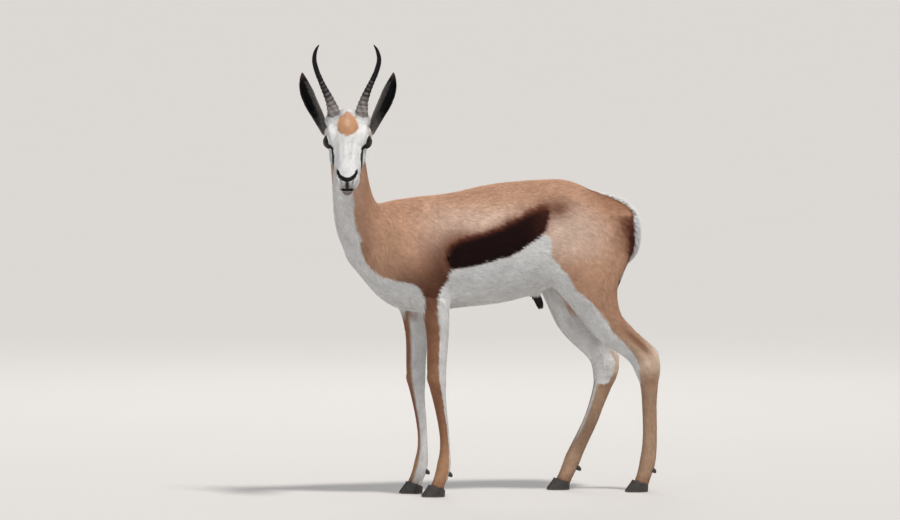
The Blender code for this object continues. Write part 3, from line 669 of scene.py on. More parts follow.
# ---------------------------------------------------------------- lids, nostrils and mouth
def eye_axes(side):
    """middle of the ball, way it looks, way to the inner corner, way up"""
    d = unit(0.40 * U + 0.84 * side * V + 0.36 * W)
    a = 0.93 * U - 0.30 * W
    a = unit(a - (a @ d) * d)
    b = np.cross(d, a)
    return in_head(EYE[0], side * EYE[1], EYE[2]), d, a, b * np.sign(b @ W)


def lid_outline(m=26):
    x = -17 * np.cos(np.linspace(0, math.pi, m))
    upper = 10.6 * (1 - np.abs(x / 17) ** 2.3)
    lower = -8.2 * (1 - np.abs(x / 17) ** 2.1)
    upper = np.where(x > 13, np.maximum(upper, 1.0), upper)
    return np.concatenate([np.stack([x, upper], 1), [[20.0, -1.6]], np.stack([x, lower], 1)[::-1][1:-1]])


LID = lid_outline()


def eye_place(p, side):
    """across and up over the ball, in mm of arc, the distance from its middle, and how far to the front"""
    e, d, a, b = eye_axes(side)
    q = p - e
    r = np.maximum(np.linalg.norm(q, axis=1), 1e-6)
    k = q / r[:, None]
    front = np.clip(k @ d, -1, 1)
    angle = np.arccos(front)
    arc = EYE_RADIUS * angle / np.maximum(np.sin(angle), 1e-6)
    return np.stack([(k @ a) * arc, (k @ b) * arc], 1), r, front


def mirrored(line):
    return [np.array([in_head(u, side * v, w) for u, v, w in line]) for side in (-1, 1)]


NOSTRIL = mirrored([(157, 23.5, -14), (164, 22.5, -16), (171, 20, -19), (177, 16, -23), (182, 11, -28)])
MOUTH = [np.concatenate([a, b[::-1][1:]]) for a, b in
         [mirrored([(134, 29, -55), (146, 28, -57), (160, 24, -58), (172, 18, -56), (181, 10, -50), (187, 0, -47)])]][0]
PHILTRUM = np.array([in_head(*x) for x in [(187, 0, -21), (190, 0, -32), (190, 0, -45)]])
TEAR = mirrored([(82, 43, -28), (92, 40, -25), (102, 38.5, -25)])


def tree_of(mesh):
    p = np.empty(len(mesh.vertices) * 3, np.float32)
    mesh.vertices.foreach_get("co", p)
    mesh.calc_loop_triangles()
    t = np.empty(len(mesh.loop_triangles) * 3, np.int32)
    mesh.loop_triangles.foreach_get("vertices", t)
    return BVHTree.FromPolygons(p.reshape(-1, 3).tolist(), t.reshape(-1, 3).tolist(), all_triangles=True)


def snapped(tree, line, step=1.5):
    """the line laid on the skin"""
    line = np.asarray(line, float)
    d = along(line)
    fine_line = flowing(d, line, np.linspace(0, d[-1], max(3, int(d[-1] / step))))
    found = [tree.find_nearest(Vector((q - ORIGIN) * MM))[0] for q in fine_line]
    return np.array([list(f) for f in found]) / MM + ORIGIN


tree = tree_of(body.data)
nostrils = [snapped(tree, line) for line in NOSTRIL]
mouth = snapped(tree, MOUTH)
philtrum = snapped(tree, PHILTRUM)
tears = [snapped(tree, line) for line in TEAR]
stripes = [snapped(tree, line) for line in mirrored([(78, 45, -28), (86, 42, -26), (95, 40.5, -24.5), (105, 38.5, -25), (116, 36, -29), (128, 32.5, -36), (140, 29, -45)])]


def face_detail(p):
    """how far from the nearest opening of the face, mm"""
    far = np.full(len(p), 99.0)
    h = head_place(p)
    near = np.where((h[:, 0] > 20) & (h[:, 0] < 215) & (h[:, 2] > -110) & (h[:, 2] < 40) & (np.abs(h[:, 1]) < 80))[0]
    q = p[near]
    best = np.minimum(distance_to(q, mouth)[0], distance_to(q, philtrum)[0])
    for line in nostrils:
        best = np.minimum(best, distance_to(q, line)[0])
    for side in (-1, 1):
        xy, r, front = eye_place(q, side)
        s = np.abs(inside_by(xy, LID))
        best = np.where((front > -0.15) & (r < 34), np.minimum(best, s), best)
    far[near] = best
    return far


bm = bmesh.new()
bm.from_mesh(body.data)
for reach in (6.5, 2.6):
    q = np.array([v.co for v in bm.verts]) / MM + ORIGIN
    close = face_detail(q) < reach
    edges = [e for e in bm.edges if close[e.verts[0].index] and close[e.verts[1].index]]
    bmesh.ops.subdivide_edges(bm, edges=edges, cuts=1, use_grid_fill=True)
    bm.verts.index_update()
bmesh.ops.triangulate(bm, faces=bm.faces)
# the soles of the pasterns are cut flat where the claws begin
for foot in FEET:
    point, down = coronet(foot)
    x0, x1 = FEET[foot][0] - 30, FEET[foot][1] + 40
    near = [v for v in bm.verts if v.co.z < 0.09 and x0 < v.co.x / MM + ORIGIN[0] < x1
            and abs(v.co.y / MM + ORIGIN[1] - FEET[foot][2]) < 45]
    edges = list({e for v in near for e in v.link_edges})
    faces = list({f for v in near for f in v.link_faces})
    bmesh.ops.bisect_plane(bm, geom=near + edges + faces, plane_co=Vector((point - ORIGIN) * MM), plane_no=Vector(down), clear_outer=True)
    bmesh.ops.holes_fill(bm, edges=[e for e in bm.edges if e.is_boundary], sides=0)
bmesh.ops.triangulate(bm, faces=bm.faces)
bmesh.ops.recalc_face_normals(bm, faces=bm.faces)
bm.to_mesh(body.data)
bm.free()
body.data.update()
p, n = places(body.data), normals(body.data)


def leg_place(p, part):
    """for points on the legs: joint count down the leg, place forward (1 front, -1 back) and outward (1 outer, -1 inner)"""
    t, a, b = np.zeros(len(p)), np.zeros(len(p)), np.zeros(len(p))
    for i, leg in enumerate(JOINTS):
        at = np.where(part == 6 + i)[0]
        if not len(at):
            continue
        c, t0, l, v, q, count = LEG_LINES[leg]
        k = nearest_station(p[at], c)
        d = p[at] - c[k]
        ahead = (d * v[k]).sum(1)
        t[at] = count[k]
        a[at] = ahead / np.where(ahead > 0, q[k, 0], q[k, 1])
        b[at] = (d * l[k]).sum(1) / q[k, 2] * (-1 if leg.endswith("left") else 1)
    return t, a, b


part = sort_out(p)
h = head_place(p)
t, a, b = leg_place(p, part)
push = np.zeros(len(p))
fore, hind = (part == 6) | (part == 7), (part == 8) | (part == 9)
side = np.clip(np.abs(b), 0, 1) ** 2
# grooves between bone and sinew, the hollow over the heel cord, the cleft between the toes
push -= np.where(fore, 1.9 * np.exp(-((a + 0.20) / 0.24) ** 2) * side * ramp(t, 3.15, 3.35) * (1 - ramp(t, 3.72, 3.92)), 0)
push -= np.where(hind, 2.2 * np.exp(-((a + 0.15) / 0.24) ** 2) * side * ramp(t, 3.7, 4.1) * (1 - ramp(t, 4.65, 4.9)), 0)
push -= np.where(hind, 5.2 * np.exp(-((a + 0.38) / 0.20) ** 2) * side * ramp(t, 2.15, 2.45) * (1 - ramp(t, 2.82, 2.97)), 0)
push += np.where(hind, 1.6 * np.exp(-((a - 0.22) / 0.20) ** 2) * side * ramp(t, 2.3, 2.6) * (1 - ramp(t, 3.0, 3.2)), 0)
push += np.where(hind, 1.6 * np.exp(-((t - 3.02) / 0.10) ** 2) * ramp(np.abs(b), 0.4, 0.9), 0)
push -= np.where(hind, 1.3 * np.exp(-((t - 3.30) / 0.07) ** 2) * ramp(np.abs(b), 0.3, 0.8), 0)
push -= np.where(fore, 2.2 * np.exp(-((a - 0.05) / 0.30) ** 2) * side * ramp(t, 2.25, 2.5) * (1 - ramp(t, 2.75, 2.95)), 0)
push += np.where(fore, 1.4 * np.exp(-((t - 3.0) / 0.06) ** 2) * ramp(a, 0.2, 0.8), 0)
push -= np.where(fore, 1.2 * np.exp(-((t - 2.93) / 0.02) ** 2) * ramp(a, 0.0, 0.8), 0)
low = (part >= 6) & (p[:, 2] < 60)
push -= np.where(low, 3.2 * np.exp(-(b / 0.16) ** 2) * (1 - ramp(p[:, 2], 30, 58)) * ramp(np.abs(a), 0.35, 0.8), 0)
for foot in FEET:
    point, down = coronet(foot)
    i = 6 + list(JOINTS).index(foot)
    up_from = -(p - point) @ down
    push += np.where(part == i, 1.3 * np.exp(-((up_from - 5) / 4.0) ** 2) * ramp(up_from, 0.2, 3), 0)


def by_side(p, line, width, depth):
    """a hollow (below 0) or a rise along a line drawn in the side view, both sides; x, z"""
    line3 = np.array(line, float)
    r, _ = distance_to(np.stack([p[:, 0], 0 * p[:, 0], p[:, 2]], 1), np.stack([line3[:, 0], 0 * line3[:, 0], line3[:, 1]], 1))
    return depth * np.exp(-(r / width) ** 2) * ramp(np.abs(p[:, 1]), 20, 45)


trunkish = (part == 0) | (part >= 6)
muscles = [
    ([(-128, 735), (-128, 680), (-142, 620), (-158, 580)], 17, -2.6),     # behind the shoulder
    ([(-205, 742), (-232, 680), (-262, 615)], 9, 1.6),                   # blade's spine
    ([(-178, 735), (-192, 672), (-215, 620)], 13, -1.6),
    ([(-296, 640), (-262, 590), (-232, 560)], 12, 1.8),                  # upper arm
    ([(-215, 560), (-180, 540), (-160, 520)], 10, -1.6),
    ([(96, 742), (112, 716), (118, 690)], 26, -4.2),                     # hollow before the hip
    ([(150, 762), (172, 742)], 12, 2.0),
    ([(262, 742), (278, 680), (282, 610), (262, 540)], 11, -2.2),        # between the thigh's muscles
    ([(198, 738), (176, 680), (160, 620), (166, 560)], 13, 1.8),
    ([(322, 700), (326, 640), (312, 580)], 12, 1.4),
    ([(236, 470), (276, 400), (330, 350)], 10, -1.6),                    # shank
]
for line, width, rise in muscles:
    push += np.where(trunkish, by_side(p, line, width, rise), 0)
for x in np.arange(-96, 90, 27.0):                                       # ribs, barely
    push += np.where(part == 0, by_side(p, [(x - 10, 735), (x + 2, 670), (x + 16, 610), (x + 22, 570)], 7.5, 0.7), 0)

# neck: windpipe and the grooves beside it, loose skin under the jaw
c, t0, v, l, row, count = NECK_LINE
at = np.where(part == 1)[0]
k = nearest_station(p[at], c)
d = p[at] - c[k]
turn = np.degrees(np.arctan2(np.abs((d * l[k]).sum(1)), (d * v[k]).sum(1)))
way = ramp(count[k], 2.5, 4.5)
push[at] += (1.8 * np.exp(-(turn / 16) ** 2) - 2.6 * np.exp(-((turn - 42) / 15) ** 2) + 1.6 * np.exp(-((turn - 78) / 22) ** 2)) * way

# head
face = part == 2
for side in (-1, 1):
    for line, width, rise in [
        ([(80, 20, 0), (105, 18, -2), (135, 16, -3)], 4.5, 0.9),          # edge of the nasal bone
        ([(84, 30, -10), (108, 27, -16), (134, 24, -20)], 6.5, -1.5),     # hollow under it
        ([(86, 40, -28), (96, 37, -32)], 5.0, -1.4),                      # before the eye
        ([(56, 50, -58), (84, 42, -58), (112, 36, -54)], 8.0, 1.7),       # cheek bone
        ([(70, 46, -76), (100, 36, -72), (122, 32, -66)], 7.0, -1.6),
        ([(30, 46, -98), (60, 40, -100), (95, 33, -88)], 7.0, 1.2),       # jaw's edge
        ([(128, 32, -50), (134, 30, -58)], 4.0, -1.6),                    # corner of the mouth
        ([(20, 26, 4), (46, 22, 6)], 7.0, 1.0),
        ([(-2, 44, -30), (24, 52, -34)], 6.0, -1.5),                      # temple
    ]:
        r, _ = distance_to(p[face], np.array([in_head(x, side * y, z) for x, y, z in line]))
        push[face] += rise * np.exp(-(r / width) ** 2)
push[face] += -0.8 * np.exp(-((h[face, 1]) / 5.0) ** 2) * ramp(h[face, 0], 60, 80) * (1 - ramp(h[face, 0], 130, 160)) * ramp(h[face, 2], -30, -10)
p = p + n * push[:, None]

q = p[face]
r, place = distance_to(q, mouth)
open_way = np.sin(math.pi * np.clip(place, 0, 1)) ** 0.3
q = q - n[face] * (2.6 * np.exp(-(r / 1.25) ** 2) * open_way)[:, None] + n[face] * (0.9 * np.exp(-((r - 3.6) / 1.7) ** 2) * open_way)[:, None]
r, _ = distance_to(q, philtrum)
q = q - n[face] * (1.0 * np.exp(-(r / 1.1) ** 2))[:, None]
for line in nostrils:
    r, place = distance_to(q, line)
    wide = 1.0 + 1.5 * ramp(place, 0.15, 0.75)
    q = q - n[face] * (5.0 * np.exp(-(r / wide) ** 2.0) * ramp(place, -0.05, 0.45))[:, None]
    q = q + n[face] * (1.3 * np.exp(-((r - 4.2) / 1.8) ** 2))[:, None]
p[face] = q
for side in (-1, 1):
    e, d, a_, b_ = eye_axes(side)
    at = np.where(np.linalg.norm(p - e, axis=1) < 40)[0]
    xy, r, front = eye_place(p[at], side)
    s = inside_by(xy, LID)
    rim = EYE_RADIUS + 0.35 + 1.7 * ramp(s, 0.0, 2.2) - 7.0 * ramp(-s, 0.0, 1.5)
    outer = r + 0.7 * np.exp(-((s - 2.6) / 1.3) ** 2)
    blend = ramp(s, 2.6, 10.5)
    crease = np.where(xy[:, 1] > -1, 0.9, 0.45) * np.exp(-((s - 4.6) / 0.95) ** 2) * ramp(17 - np.abs(xy[:, 0]), -4, 4)
    reach = rim + (outer - rim) * blend - crease
    reach = np.where(s > 0.6, np.maximum(reach, EYE_RADIUS + 0.9), reach)
    live = ramp(front, -0.25, 0.05)
    final = reach * live + r * (1 - live)
    final = np.where((s > 0.6) & (front > -0.55), np.maximum(final, EYE_RADIUS + 0.8), final)
    p[at] = e + (p[at] - e) * (final / r)[:, None]
# a light rounding of the cut net round the openings
near = face_detail(p)
p = smoothed(body.data, p, 0.55 * (near < 9) * (part == 2) + 0.0, 2)
put(body.data, p)
n = normals(body.data)
skin = body
skin.name = skin.data.name = "skin"
print("SKIN with face", len(skin.data.polygons))

# ---------------------------------------------------------------- markings: one function for skin and coat
BACK, SIDE, CROUP = (0.56, 0.325, 0.212), (0.77, 0.560, 0.445), (0.41, 0.195, 0.108)
DEEP_BROWN_AND_SHADE, PAINTED_SHADE_BROWN = (0.29, 0.138, 0.084), (0.115, 0.046, 0.027)
DARK, DARK_EDGE = (0.013, 0.0035, 0.003), (0.150, 0.048, 0.026)
WHITE, GREY_WHITE = (0.77, 0.765, 0.755), (0.56, 0.55, 0.54)
LEG_BROWN, CANNON = (0.30, 0.145, 0.083), (0.44, 0.285, 0.190)
FOREHEAD, FACE_TAN = (0.56, 0.305, 0.172), (0.42, 0.255, 0.165)
EAR_BACK, EAR_BLACK, EAR_GREY = (0.33, 0.245, 0.19), (0.0045, 0.004, 0.005), (0.120, 0.112, 0.110)
NOSE_BLACK, FACE_DARK = (0.010, 0.008, 0.009), (0.022, 0.012, 0.011)

FLANK_TOP = [(-165, 620), (-156, 633), (-132, 647), (-80, 659), (-27, 676), (-1, 689), (25, 700), (51, 713), (74, 723), (94, 727),
             (106, 725)]
FLANK_LOW = [(-165, 598), (-151, 573), (-106, 579), (-80, 584), (-27, 598), (-1, 603), (25, 618), (51, 635), (77, 652), (92, 668),
             (101, 690), (107, 710)]
WHITE_SIDE = [(-470, 900), (-470, 0), (420, 0), (420, 430), (260, 430), (212, 485), (172, 516), (151, 554), (122, 587), (110, 600),
              (108, 640), (100, 655), (88, 658), (77, 650), (51, 634), (25, 617), (-1, 603), (-27, 597), (-80, 583), (-106, 578),
              (-153, 571), (-162, 545), (-180, 521), (-188, 501), (-188, 380), (-215, 380), (-215, 440), (-222, 501), (-236, 526),
              (-257, 539), (-288, 544), (-321, 553), (-350, 573), (-366, 597), (-377, 622), (-385, 660), (-388, 700), (-392, 750), (-420, 900)]
RUMP_HALF = [(480, 18), (500, 28), (520, 37), (560, 50), (600, 57), (640, 62), (670, 62), (690, 55), (704, 44), (716, 32), (730, 22), (745, 12), (765, 6)]
# brown on the leg lies ahead of this place (forward 1 to back -1), by joint count
FORE_SPLIT = [(1.5, 0.15), (2.0, 0.05), (3.0, 0.0), (3.25, -0.30), (3.6, -0.48), (4.0, -0.55), (5.0, -0.8)]
HIND_SPLIT = [(0.5, 0.87), (0.9, 0.66), (1.2, 0.50), (1.5, 0.36), (2.0, 0.02), (2.44, 0.25), (2.92, 0.60), (3.36, 0.93), (3.7, 1.1), (6.0, 1.2)]


class Speckle:
    """soft even noise over space, about -1 to 1"""

    def __init__(self, seed):
        self.grid = np.random.default_rng(seed).uniform(-1, 1, (32, 32, 32))

    def __call__(self, p, size):
        q = np.asarray(p, float) / size
        i = np.floor(q).astype(int)
        f = q - i
        f = f * f * (3 - 2 * f)
        out = np.zeros(len(q))
        for dx in (0, 1):
            for dy in (0, 1):
                for dz in (0, 1):
                    k = np.abs(1 - dx - f[:, 0]) * np.abs(1 - dy - f[:, 1]) * np.abs(1 - dz - f[:, 2])
                    out += k * self.grid[(i[:, 0] + dx) % 32, (i[:, 1] + dy) % 32, (i[:, 2] + dz) % 32]
        return out


cloud = Speckle(11)
cloud_2 = Speckle(12)


def mixed(colour, other, share):
    return colour + (np.asarray(other, float) - colour) * share[:, None]


def front_plane(h):
    """the face as seen from its front, mm across and down from the poll"""
    return np.stack([h[:, 1], 0.865 * h[:, 0] - 0.5035 * h[:, 2]], 1)


def flat_distance(xy, line):
    z = np.zeros((len(xy), 1))
    line = np.asarray(line, float)
    return distance_to(np.hstack([xy, z]), np.hstack([line, np.zeros((len(line), 1))]))


def ear_place(p, side):
    """across (outer edge -1, inner edge 1), share of the length, way into the opening"""
    c, t0, l, f, q, share = EAR_LINES[side]
    k = nearest_station(p, c)
    d = p - c[k]
    across = (d * l[k]).sum(1) / q[k, 0]
    inward = np.sign((l @ V) * -side).mean()
    return across * (1 if inward > 0 else -1), share[k], f[k], t0[k]


def markings(p, n, part):
    x, y, z = p.T
    out = np.abs(y)
    h = head_place(p)
    t, a, b = leg_place(p, part)
    far = y > 0
    shift = np.where(far & (x < -60), 19 * (1 - ramp(z, 470, 640)), 0) + \
        np.where(far & (x > 60), 20 + 28 * (1 - ramp(z, 440, 540)) - 20 * ramp(z, 540, 640), 0)
    xz = np.stack([x + shift, z], 1)
    mottle = cloud(p, 34.0)
    fine_mottle = cloud_2(p, 7.0)

    # tan body, lighter on the side, redder on the croup, with painted shade in darker brown down the shoulder
    c = np.tile(np.array(BACK, float), (len(p), 1))
    # the side paler: its own paler tone, raised further as painted light
    c = mixed(c, SIDE, (1 - ramp(z, 680, 755)) * ramp(z, 560, 640) * ramp(x, -290, -110) * (1 - ramp(x, 150, 270)))
    c = mixed(c, SIDE, 0.55 * np.exp(-(((x - 215) / 62) ** 2 + ((z - 665) / 58) ** 2)))
    c = mixed(c, CROUP, 0.75 * ramp(x, 175, 290) * ramp(z, 640, 745))
    # painted shade: brown deepening down the shoulder towards the elbow
    q = ((x + 260) - (z - 590)) / math.sqrt(2)
    painted_shoulder_shade = ramp(q, -25, 105) * (1 - ramp(z, 610, 725)) * (1 - ramp(x, -150, -95))
    c = mixed(c, DEEP_BROWN_AND_SHADE, 0.80 * ramp(q, -50, 70) * (1 - ramp(z, 640, 740)) * (1 - ramp(x, -140, -70)))
    c = mixed(c, PAINTED_SHADE_BROWN, painted_shoulder_shade)
    # painted shade in brown on the front of the neck and chest
    c = mixed(c, DEEP_BROWN_AND_SHADE, 0.40 * ramp(-x, 330, 372) * (1 - ramp(z, 700, 860)))
    # painted shade on the lower thigh
    c = mixed(c, DEEP_BROWN_AND_SHADE, 0.28 * ramp(x, 170, 300) * (1 - ramp(z, 480, 600)))

    # the dark band along the flank
    band = np.array(FLANK_TOP + FLANK_LOW[::-1], float)
    s = inside_by(xz, band)
    away_top, _ = flat_distance(xz, FLANK_TOP)
    away_low, _ = flat_distance(xz, FLANK_LOW)
    tail_off = ramp(xz[:, 0], 30, 125)
    soft_edge = ramp(away_low, 5, 16)
    wide = soft_edge * (1 + 1.3 * tail_off)
    s = s + 3.5 * fine_mottle * soft_edge
    on = 1 - ramp(s, -2.0 - 9.0 * wide, 2.5 + 1.5 * wide)
    trunkish = (part == 0) | (part >= 6)
    flank = trunkish & (out > 12)
    c = mixed(c, DEEP_BROWN_AND_SHADE, np.where(flank, 0.65 * (1 - ramp(s, 0, 28)) * soft_edge, 0))
    # painted shadow in brown over the hip, past the band's end
    c = mixed(c, (0.20, 0.088, 0.052), np.where(flank, 0.95 * np.exp(-(((xz[:, 0] - 130) / 33) ** 2 + ((xz[:, 1] - 720) / 26) ** 2)), 0))
    c = mixed(c, DARK_EDGE, np.where(flank, 1 - ramp(s, -3, 11), 0))
    depth_in = ramp(away_top + 2.0 * fine_mottle, 0, 17)
    c = mixed(c, (0.050, 0.0125, 0.008), np.where(flank, on * (1 - 0.35 * tail_off * soft_edge), 0))
    c = mixed(c, DARK, np.where(flank, on * depth_in * (1 - 0.80 * tail_off), 0))

    # white below
    s = inside_by(xz, WHITE_SIDE) + 1.2 * fine_mottle
    white = 1 - ramp(s, -1.6, 1.6)
    under = (1 - ramp(out, 26, 36)) * (1 - ramp(z, 520 + 42 * ramp(x, 120, 170), 560 + 42 * ramp(x, 120, 170))) * ramp(x, -330, -300)
    white = np.where(trunkish, np.maximum(white * (1 - ramp(z, 590, 700) * (x < -250)), under), 0)
    chest = (part == 0) & (x < -180)
    white = np.where(chest, np.maximum(1 - ramp(s, -1.6, 1.6), under), white)
    leg = part >= 6
    fore, hind = (part == 6) | (part == 7), (part == 8) | (part == 9)
    inner = np.clip(-b, 0, 1)
    split = np.interp(t, *np.array(FORE_SPLIT).T)
    wf = 1 - ramp(a - split - 0.75 * inner + 0.06 * fine_mottle, -0.07, 0.07)
    wf = np.maximum(wf, ramp(inner, 0.45, 0.62) * (1 - ramp(a, 0.45, 0.8)))
    white = np.where(fore, white * ramp(z, 425, 470) + wf * (1 - ramp(z, 425, 470)), white)
    split = np.interp(t, *np.array(HIND_SPLIT).T)
    wh = ramp(a - split + 1.6 * inner * (1 - ramp(t + 0.06 * mottle, 3.30, 3.52)) + 0.06 * fine_mottle, -0.07, 0.07)
    wh = np.maximum(wh, ramp(inner, 0.05, 0.3) * ramp(a, 0.62, 0.82) * (1 - ramp(t, 4.3, 4.8)))
    wh = np.maximum(wh, ramp(inner, 0.02, 0.25) * (1 - ramp(t, 2.7, 3.0)))
    white = np.where(hind, white * ramp(z, 425, 470) + wh * (1 - ramp(z, 425, 470)), white)
    # colour of the legs under the white
    down = (1 - ramp(z, 300, 470))
    c = np.where(fore[:, None], mixed(c, LEG_BROWN, ramp(-z, -560, -430)), c)
    c = np.where(fore[:, None], mixed(c, (0.47, 0.262, 0.150), (1 - ramp(z, 60, 190)) + 0.35 * np.exp(-((t - 2.92) / 0.12) ** 2)), c)
    c = np.where(hind[:, None], mixed(c, CANNON, down), c)
    # painted light on the point of the hock and the front of the gaskin above it; painted shade in the hollow over the
    # heel cord
    c = np.where(hind[:, None], mixed(c, (0.78, 0.60, 0.46), 0.8 * np.exp(-((t - 3.02) / 0.24) ** 2)), c)
    c = np.where(hind[:, None], mixed(c, (0.62, 0.465, 0.35), 0.5 * np.exp(-((a - 0.25) / 0.3) ** 2) * np.exp(-((t - 2.65) / 0.35) ** 2)), c)
    c = np.where(hind[:, None], mixed(c, (0.24, 0.110, 0.062), 0.75 * (1 - ramp(np.abs(a + 0.38), 0.10, 0.36)) * np.exp(-((t - 2.62) / 0.32) ** 2)), c)
    c = np.where(hind[:, None], mixed(c, WHITE, 0.40 * ramp(-a, 0.78, 0.96) * ramp(t, 1.9, 2.3) * (1 - ramp(t, 2.9, 3.2))), c)
    c = np.where(hind[:, None], mixed(c, DEEP_BROWN_AND_SHADE, 0.5 * np.exp(-((t - 3.42) / 0.10) ** 2) * (1 - ramp(np.abs(a), 0.3, 0.8))), c)
    low = np.where(leg, (1 - ramp(z, 20, 52)), 0)
    c = mixed(c, DARK_EDGE, 0.55 * low)
    white = white * (1 - 0.75 * low * (a > -0.3))
    c = mixed(c, WHITE, white)
    # painted shade: white greyer lower down, in soft patches
    c = mixed(c, GREY_WHITE, 0.55 * white * (0.5 + 0.5 * cloud(p, 22.0)) * (1 - ramp(z, 380, 560)))

    # neck: white down the throat
    cn, _, vn, ln, _, _ = NECK_LINE
    at = np.where((part == 1) | ((part == 0) & (x < -340)))[0]
    k = nearest_station(p[at], cn)
    d = p[at] - cn[k]
    turn = np.degrees(np.arctan2(np.abs((d * ln[k]).sum(1)), (d * vn[k]).sum(1)))
    edge = np.interp(z[at], [600, 650, 700, 740, 850, 905, 930], [60, 53, 52, 53, 38, 44, 70])
    far = (d * ln[k]).sum(1) * (ln[k] @ np.array([-1.0, 1.0, 0.0])) > 0
    up = -((p[at] - NECK_FOOT) @ NECK_DOWN)
    edge = edge - np.where(far, 19 * ramp(up, 0, 80) * (1 - ramp(z[at], 860, 900)), 0)
    w = 1 - ramp(turn - edge + 4 * fine_mottle[at], -5, 5)
    grows = (part[at] == 1) * 1.0
    pale = np.interp(z[at], [640, 860], [0.0, 0.35]) * (1 - ramp(turn, 60, 120))
    c[at] = mixed(c[at], SIDE, pale * grows)
    c[at] = mixed(c[at], WHITE, w * grows * 0.97)

    # rump: white patch with a dark red-brown edge, serrated by the hair
    half = np.interp(z, *np.array(RUMP_HALF, float).T)
    half = np.where(z > 700, np.interp(x, [215, 225, 260, 290, 320, 345], [0, 6, 7, 15, 28, 40]), half)
    back_of = np.where(z > 690, ramp(x, 214, 222), ramp(x, 250, 292)) * ((part == 0) | (part >= 8)) * ramp(z, 470, 520)
    s = out - half + 2.2 * fine_mottle
    streak = cloud_2(p * np.array([0.5, 1.0, 1.9]), 5.0)
    c = mixed(c, DEEP_BROWN_AND_SHADE, back_of * (1 - ramp(s + 7 * streak, 8, 40)) * 0.65 * ramp(z, 500, 600))
    c = mixed(c, DARK_EDGE, back_of * (1 - ramp(s + 5 * streak, 6, 20)) * 0.9 * ramp(z, 495, 580) * (1 - 0.6 * ramp(z, 690, 725)))
    c = mixed(c, (0.075, 0.018, 0.013), back_of * (1 - ramp(s + 3 * streak, 3, 11)) * 0.95 * ramp(z, 500, 600) * (1 - 0.85 * ramp(z, 690, 720)))
    c = mixed(c, WHITE, back_of * (1 - ramp(s, -2.0, 1.5)))

    # tail: white, ending dark
    at = np.where(part == 3)[0]
    if len(at):
        _, place = distance_to(p[at], tail_table[:, :3])
        tail = np.tile(np.array(WHITE), (len(at), 1))
        tail = mixed(tail, DARK_EDGE, ramp(place, 0.77, 0.83))
        c[at] = mixed(tail, (0.02, 0.015, 0.014), ramp(place, 0.81, 0.87))

    # head
    at = np.where(part == 2)[0]
    hh, nn, m = h[at], n[at], fine_mottle[at]
    u, v, w = hh.T
    av = np.abs(v)
    xy = front_plane(hh)
    facing = (nn * (0.96 * AHEAD + 0.05 * UP)).sum(1)
    head = np.tile(np.array(WHITE, float), (len(at), 1))
    # tan behind the eye and over the poll
    behind = (1 - ramp(u + 3.0 * m, 34, 62)) * ramp(-w - 0.25 * u + 3.0 * m, 30, 52)
    behind = behind * ramp(av, 26, 36) * (1 - ramp(facing, 0.45, 0.80))
    rear = ramp(-((p[at] - POLL) @ AHEAD) + 3.0 * m, 46, 70) * (1 - ramp(av, 60, 80))
    nape = np.maximum(rear * (1 - ramp(u, 60, 110)), 1 - ramp(u, -22, -10))
    nape = np.maximum(nape, ramp(-((p[at] - POLL) @ AHEAD) + 3.0 * m, 12, 26) * (1 - ramp(av, 46, 62)) * (1 - ramp(u, 20, 40)))
    head = mixed(head, SIDE, 0.9 * behind)
    head = mixed(head, BACK, nape * (1 - ramp(xy[:, 1], -22, -12) * ramp(facing, 0.0, 0.3)))
    # forehead patch and the tuft between the horns
    r = (np.abs(v / 27.5) ** 1.95 + np.abs((xy[:, 1] - 28.0) / np.where(xy[:, 1] < 28, 28.5, 27.0)) ** 1.95) ** (1 / 1.95) + 0.09 * m
    r = np.minimum(r, np.hypot(v / 8.5, (xy[:, 1] - 2.0) / 6.5) + 0.22 * m)
    behind_poll = -((p[at] - POLL) @ AHEAD)
    patch = (1 - ramp(r, 0.86, 1.08)) * (1 - ramp(behind_poll, 8, 20))
    tan = mixed(np.tile(np.array(FOREHEAD), (len(at), 1)), (0.70, 0.48, 0.33), 0.6 * np.exp(-(v / 9) ** 2 - ((xy[:, 1] - 22) / 12) ** 2))
    tan = mixed(tan, (0.42, 0.205, 0.105), 0.55 * ramp(r, 0.55, 0.95) * ramp(xy[:, 1], 14, 36))
    tan = mixed(tan, (0.66, 0.40, 0.30), 0.7 * (1 - ramp(xy[:, 1], 4, 9)))
    head = head + (tan - head) * patch[:, None]
    # grey ring round the horns' bases: painted shade under the horns
    for side in (-1, 1):
        seat = in_head(-4, side * 33, -8)
        d = p[at] - seat
        r = np.linalg.norm(d - (d @ (W * 0.6 - U * 0.8))[:, None] * (W * 0.6 - U * 0.8), axis=1)
        head = mixed(head, (0.10, 0.088, 0.080), 0.85 * (1 - ramp(r + m, 16, 20)) * (1 - ramp(u, 2, 10)) * ramp(av, 15, 21))
    # stripe from the eye down the cheek
    for side in (-1, 1):
        line = stripes[0 if side < 0 else 1]
        line_w = head_place(line)[:, 2]
        r, place = distance_to(p[at], line)
        half = np.interp(place, [0, 0.15, 0.3, 0.5, 0.75, 0.92, 1], [5.4, 4.8, 4.8, 6.4, 7.0, 5.2, 2.8])
        dark = 1 - ramp(r - half + 0.8 * m, -0.9, 1.1)
        near_3d = (1 - ramp(r, 17, 20)) * ramp(w - np.interp(place, np.linspace(0, 1, len(line)), line_w), -9, -6.5)
        r, place = flat_distance(xy, [(side * k[0], k[1]) for k in [(-40.5, 93), (-37.5, 106), (-34.5, 117), (-31.5, 128), (-29, 139)]])
        half = np.interp(place, [0, 0.3, 0.55, 0.8, 1], [3.0, 5.0, 6.3, 6.0, 3.2])
        dark = np.maximum(dark, (1 - ramp(r - half + 0.5 * m, -0.7, 0.9)) * near_3d)
        head = mixed(head, FACE_DARK, dark * 0.97)
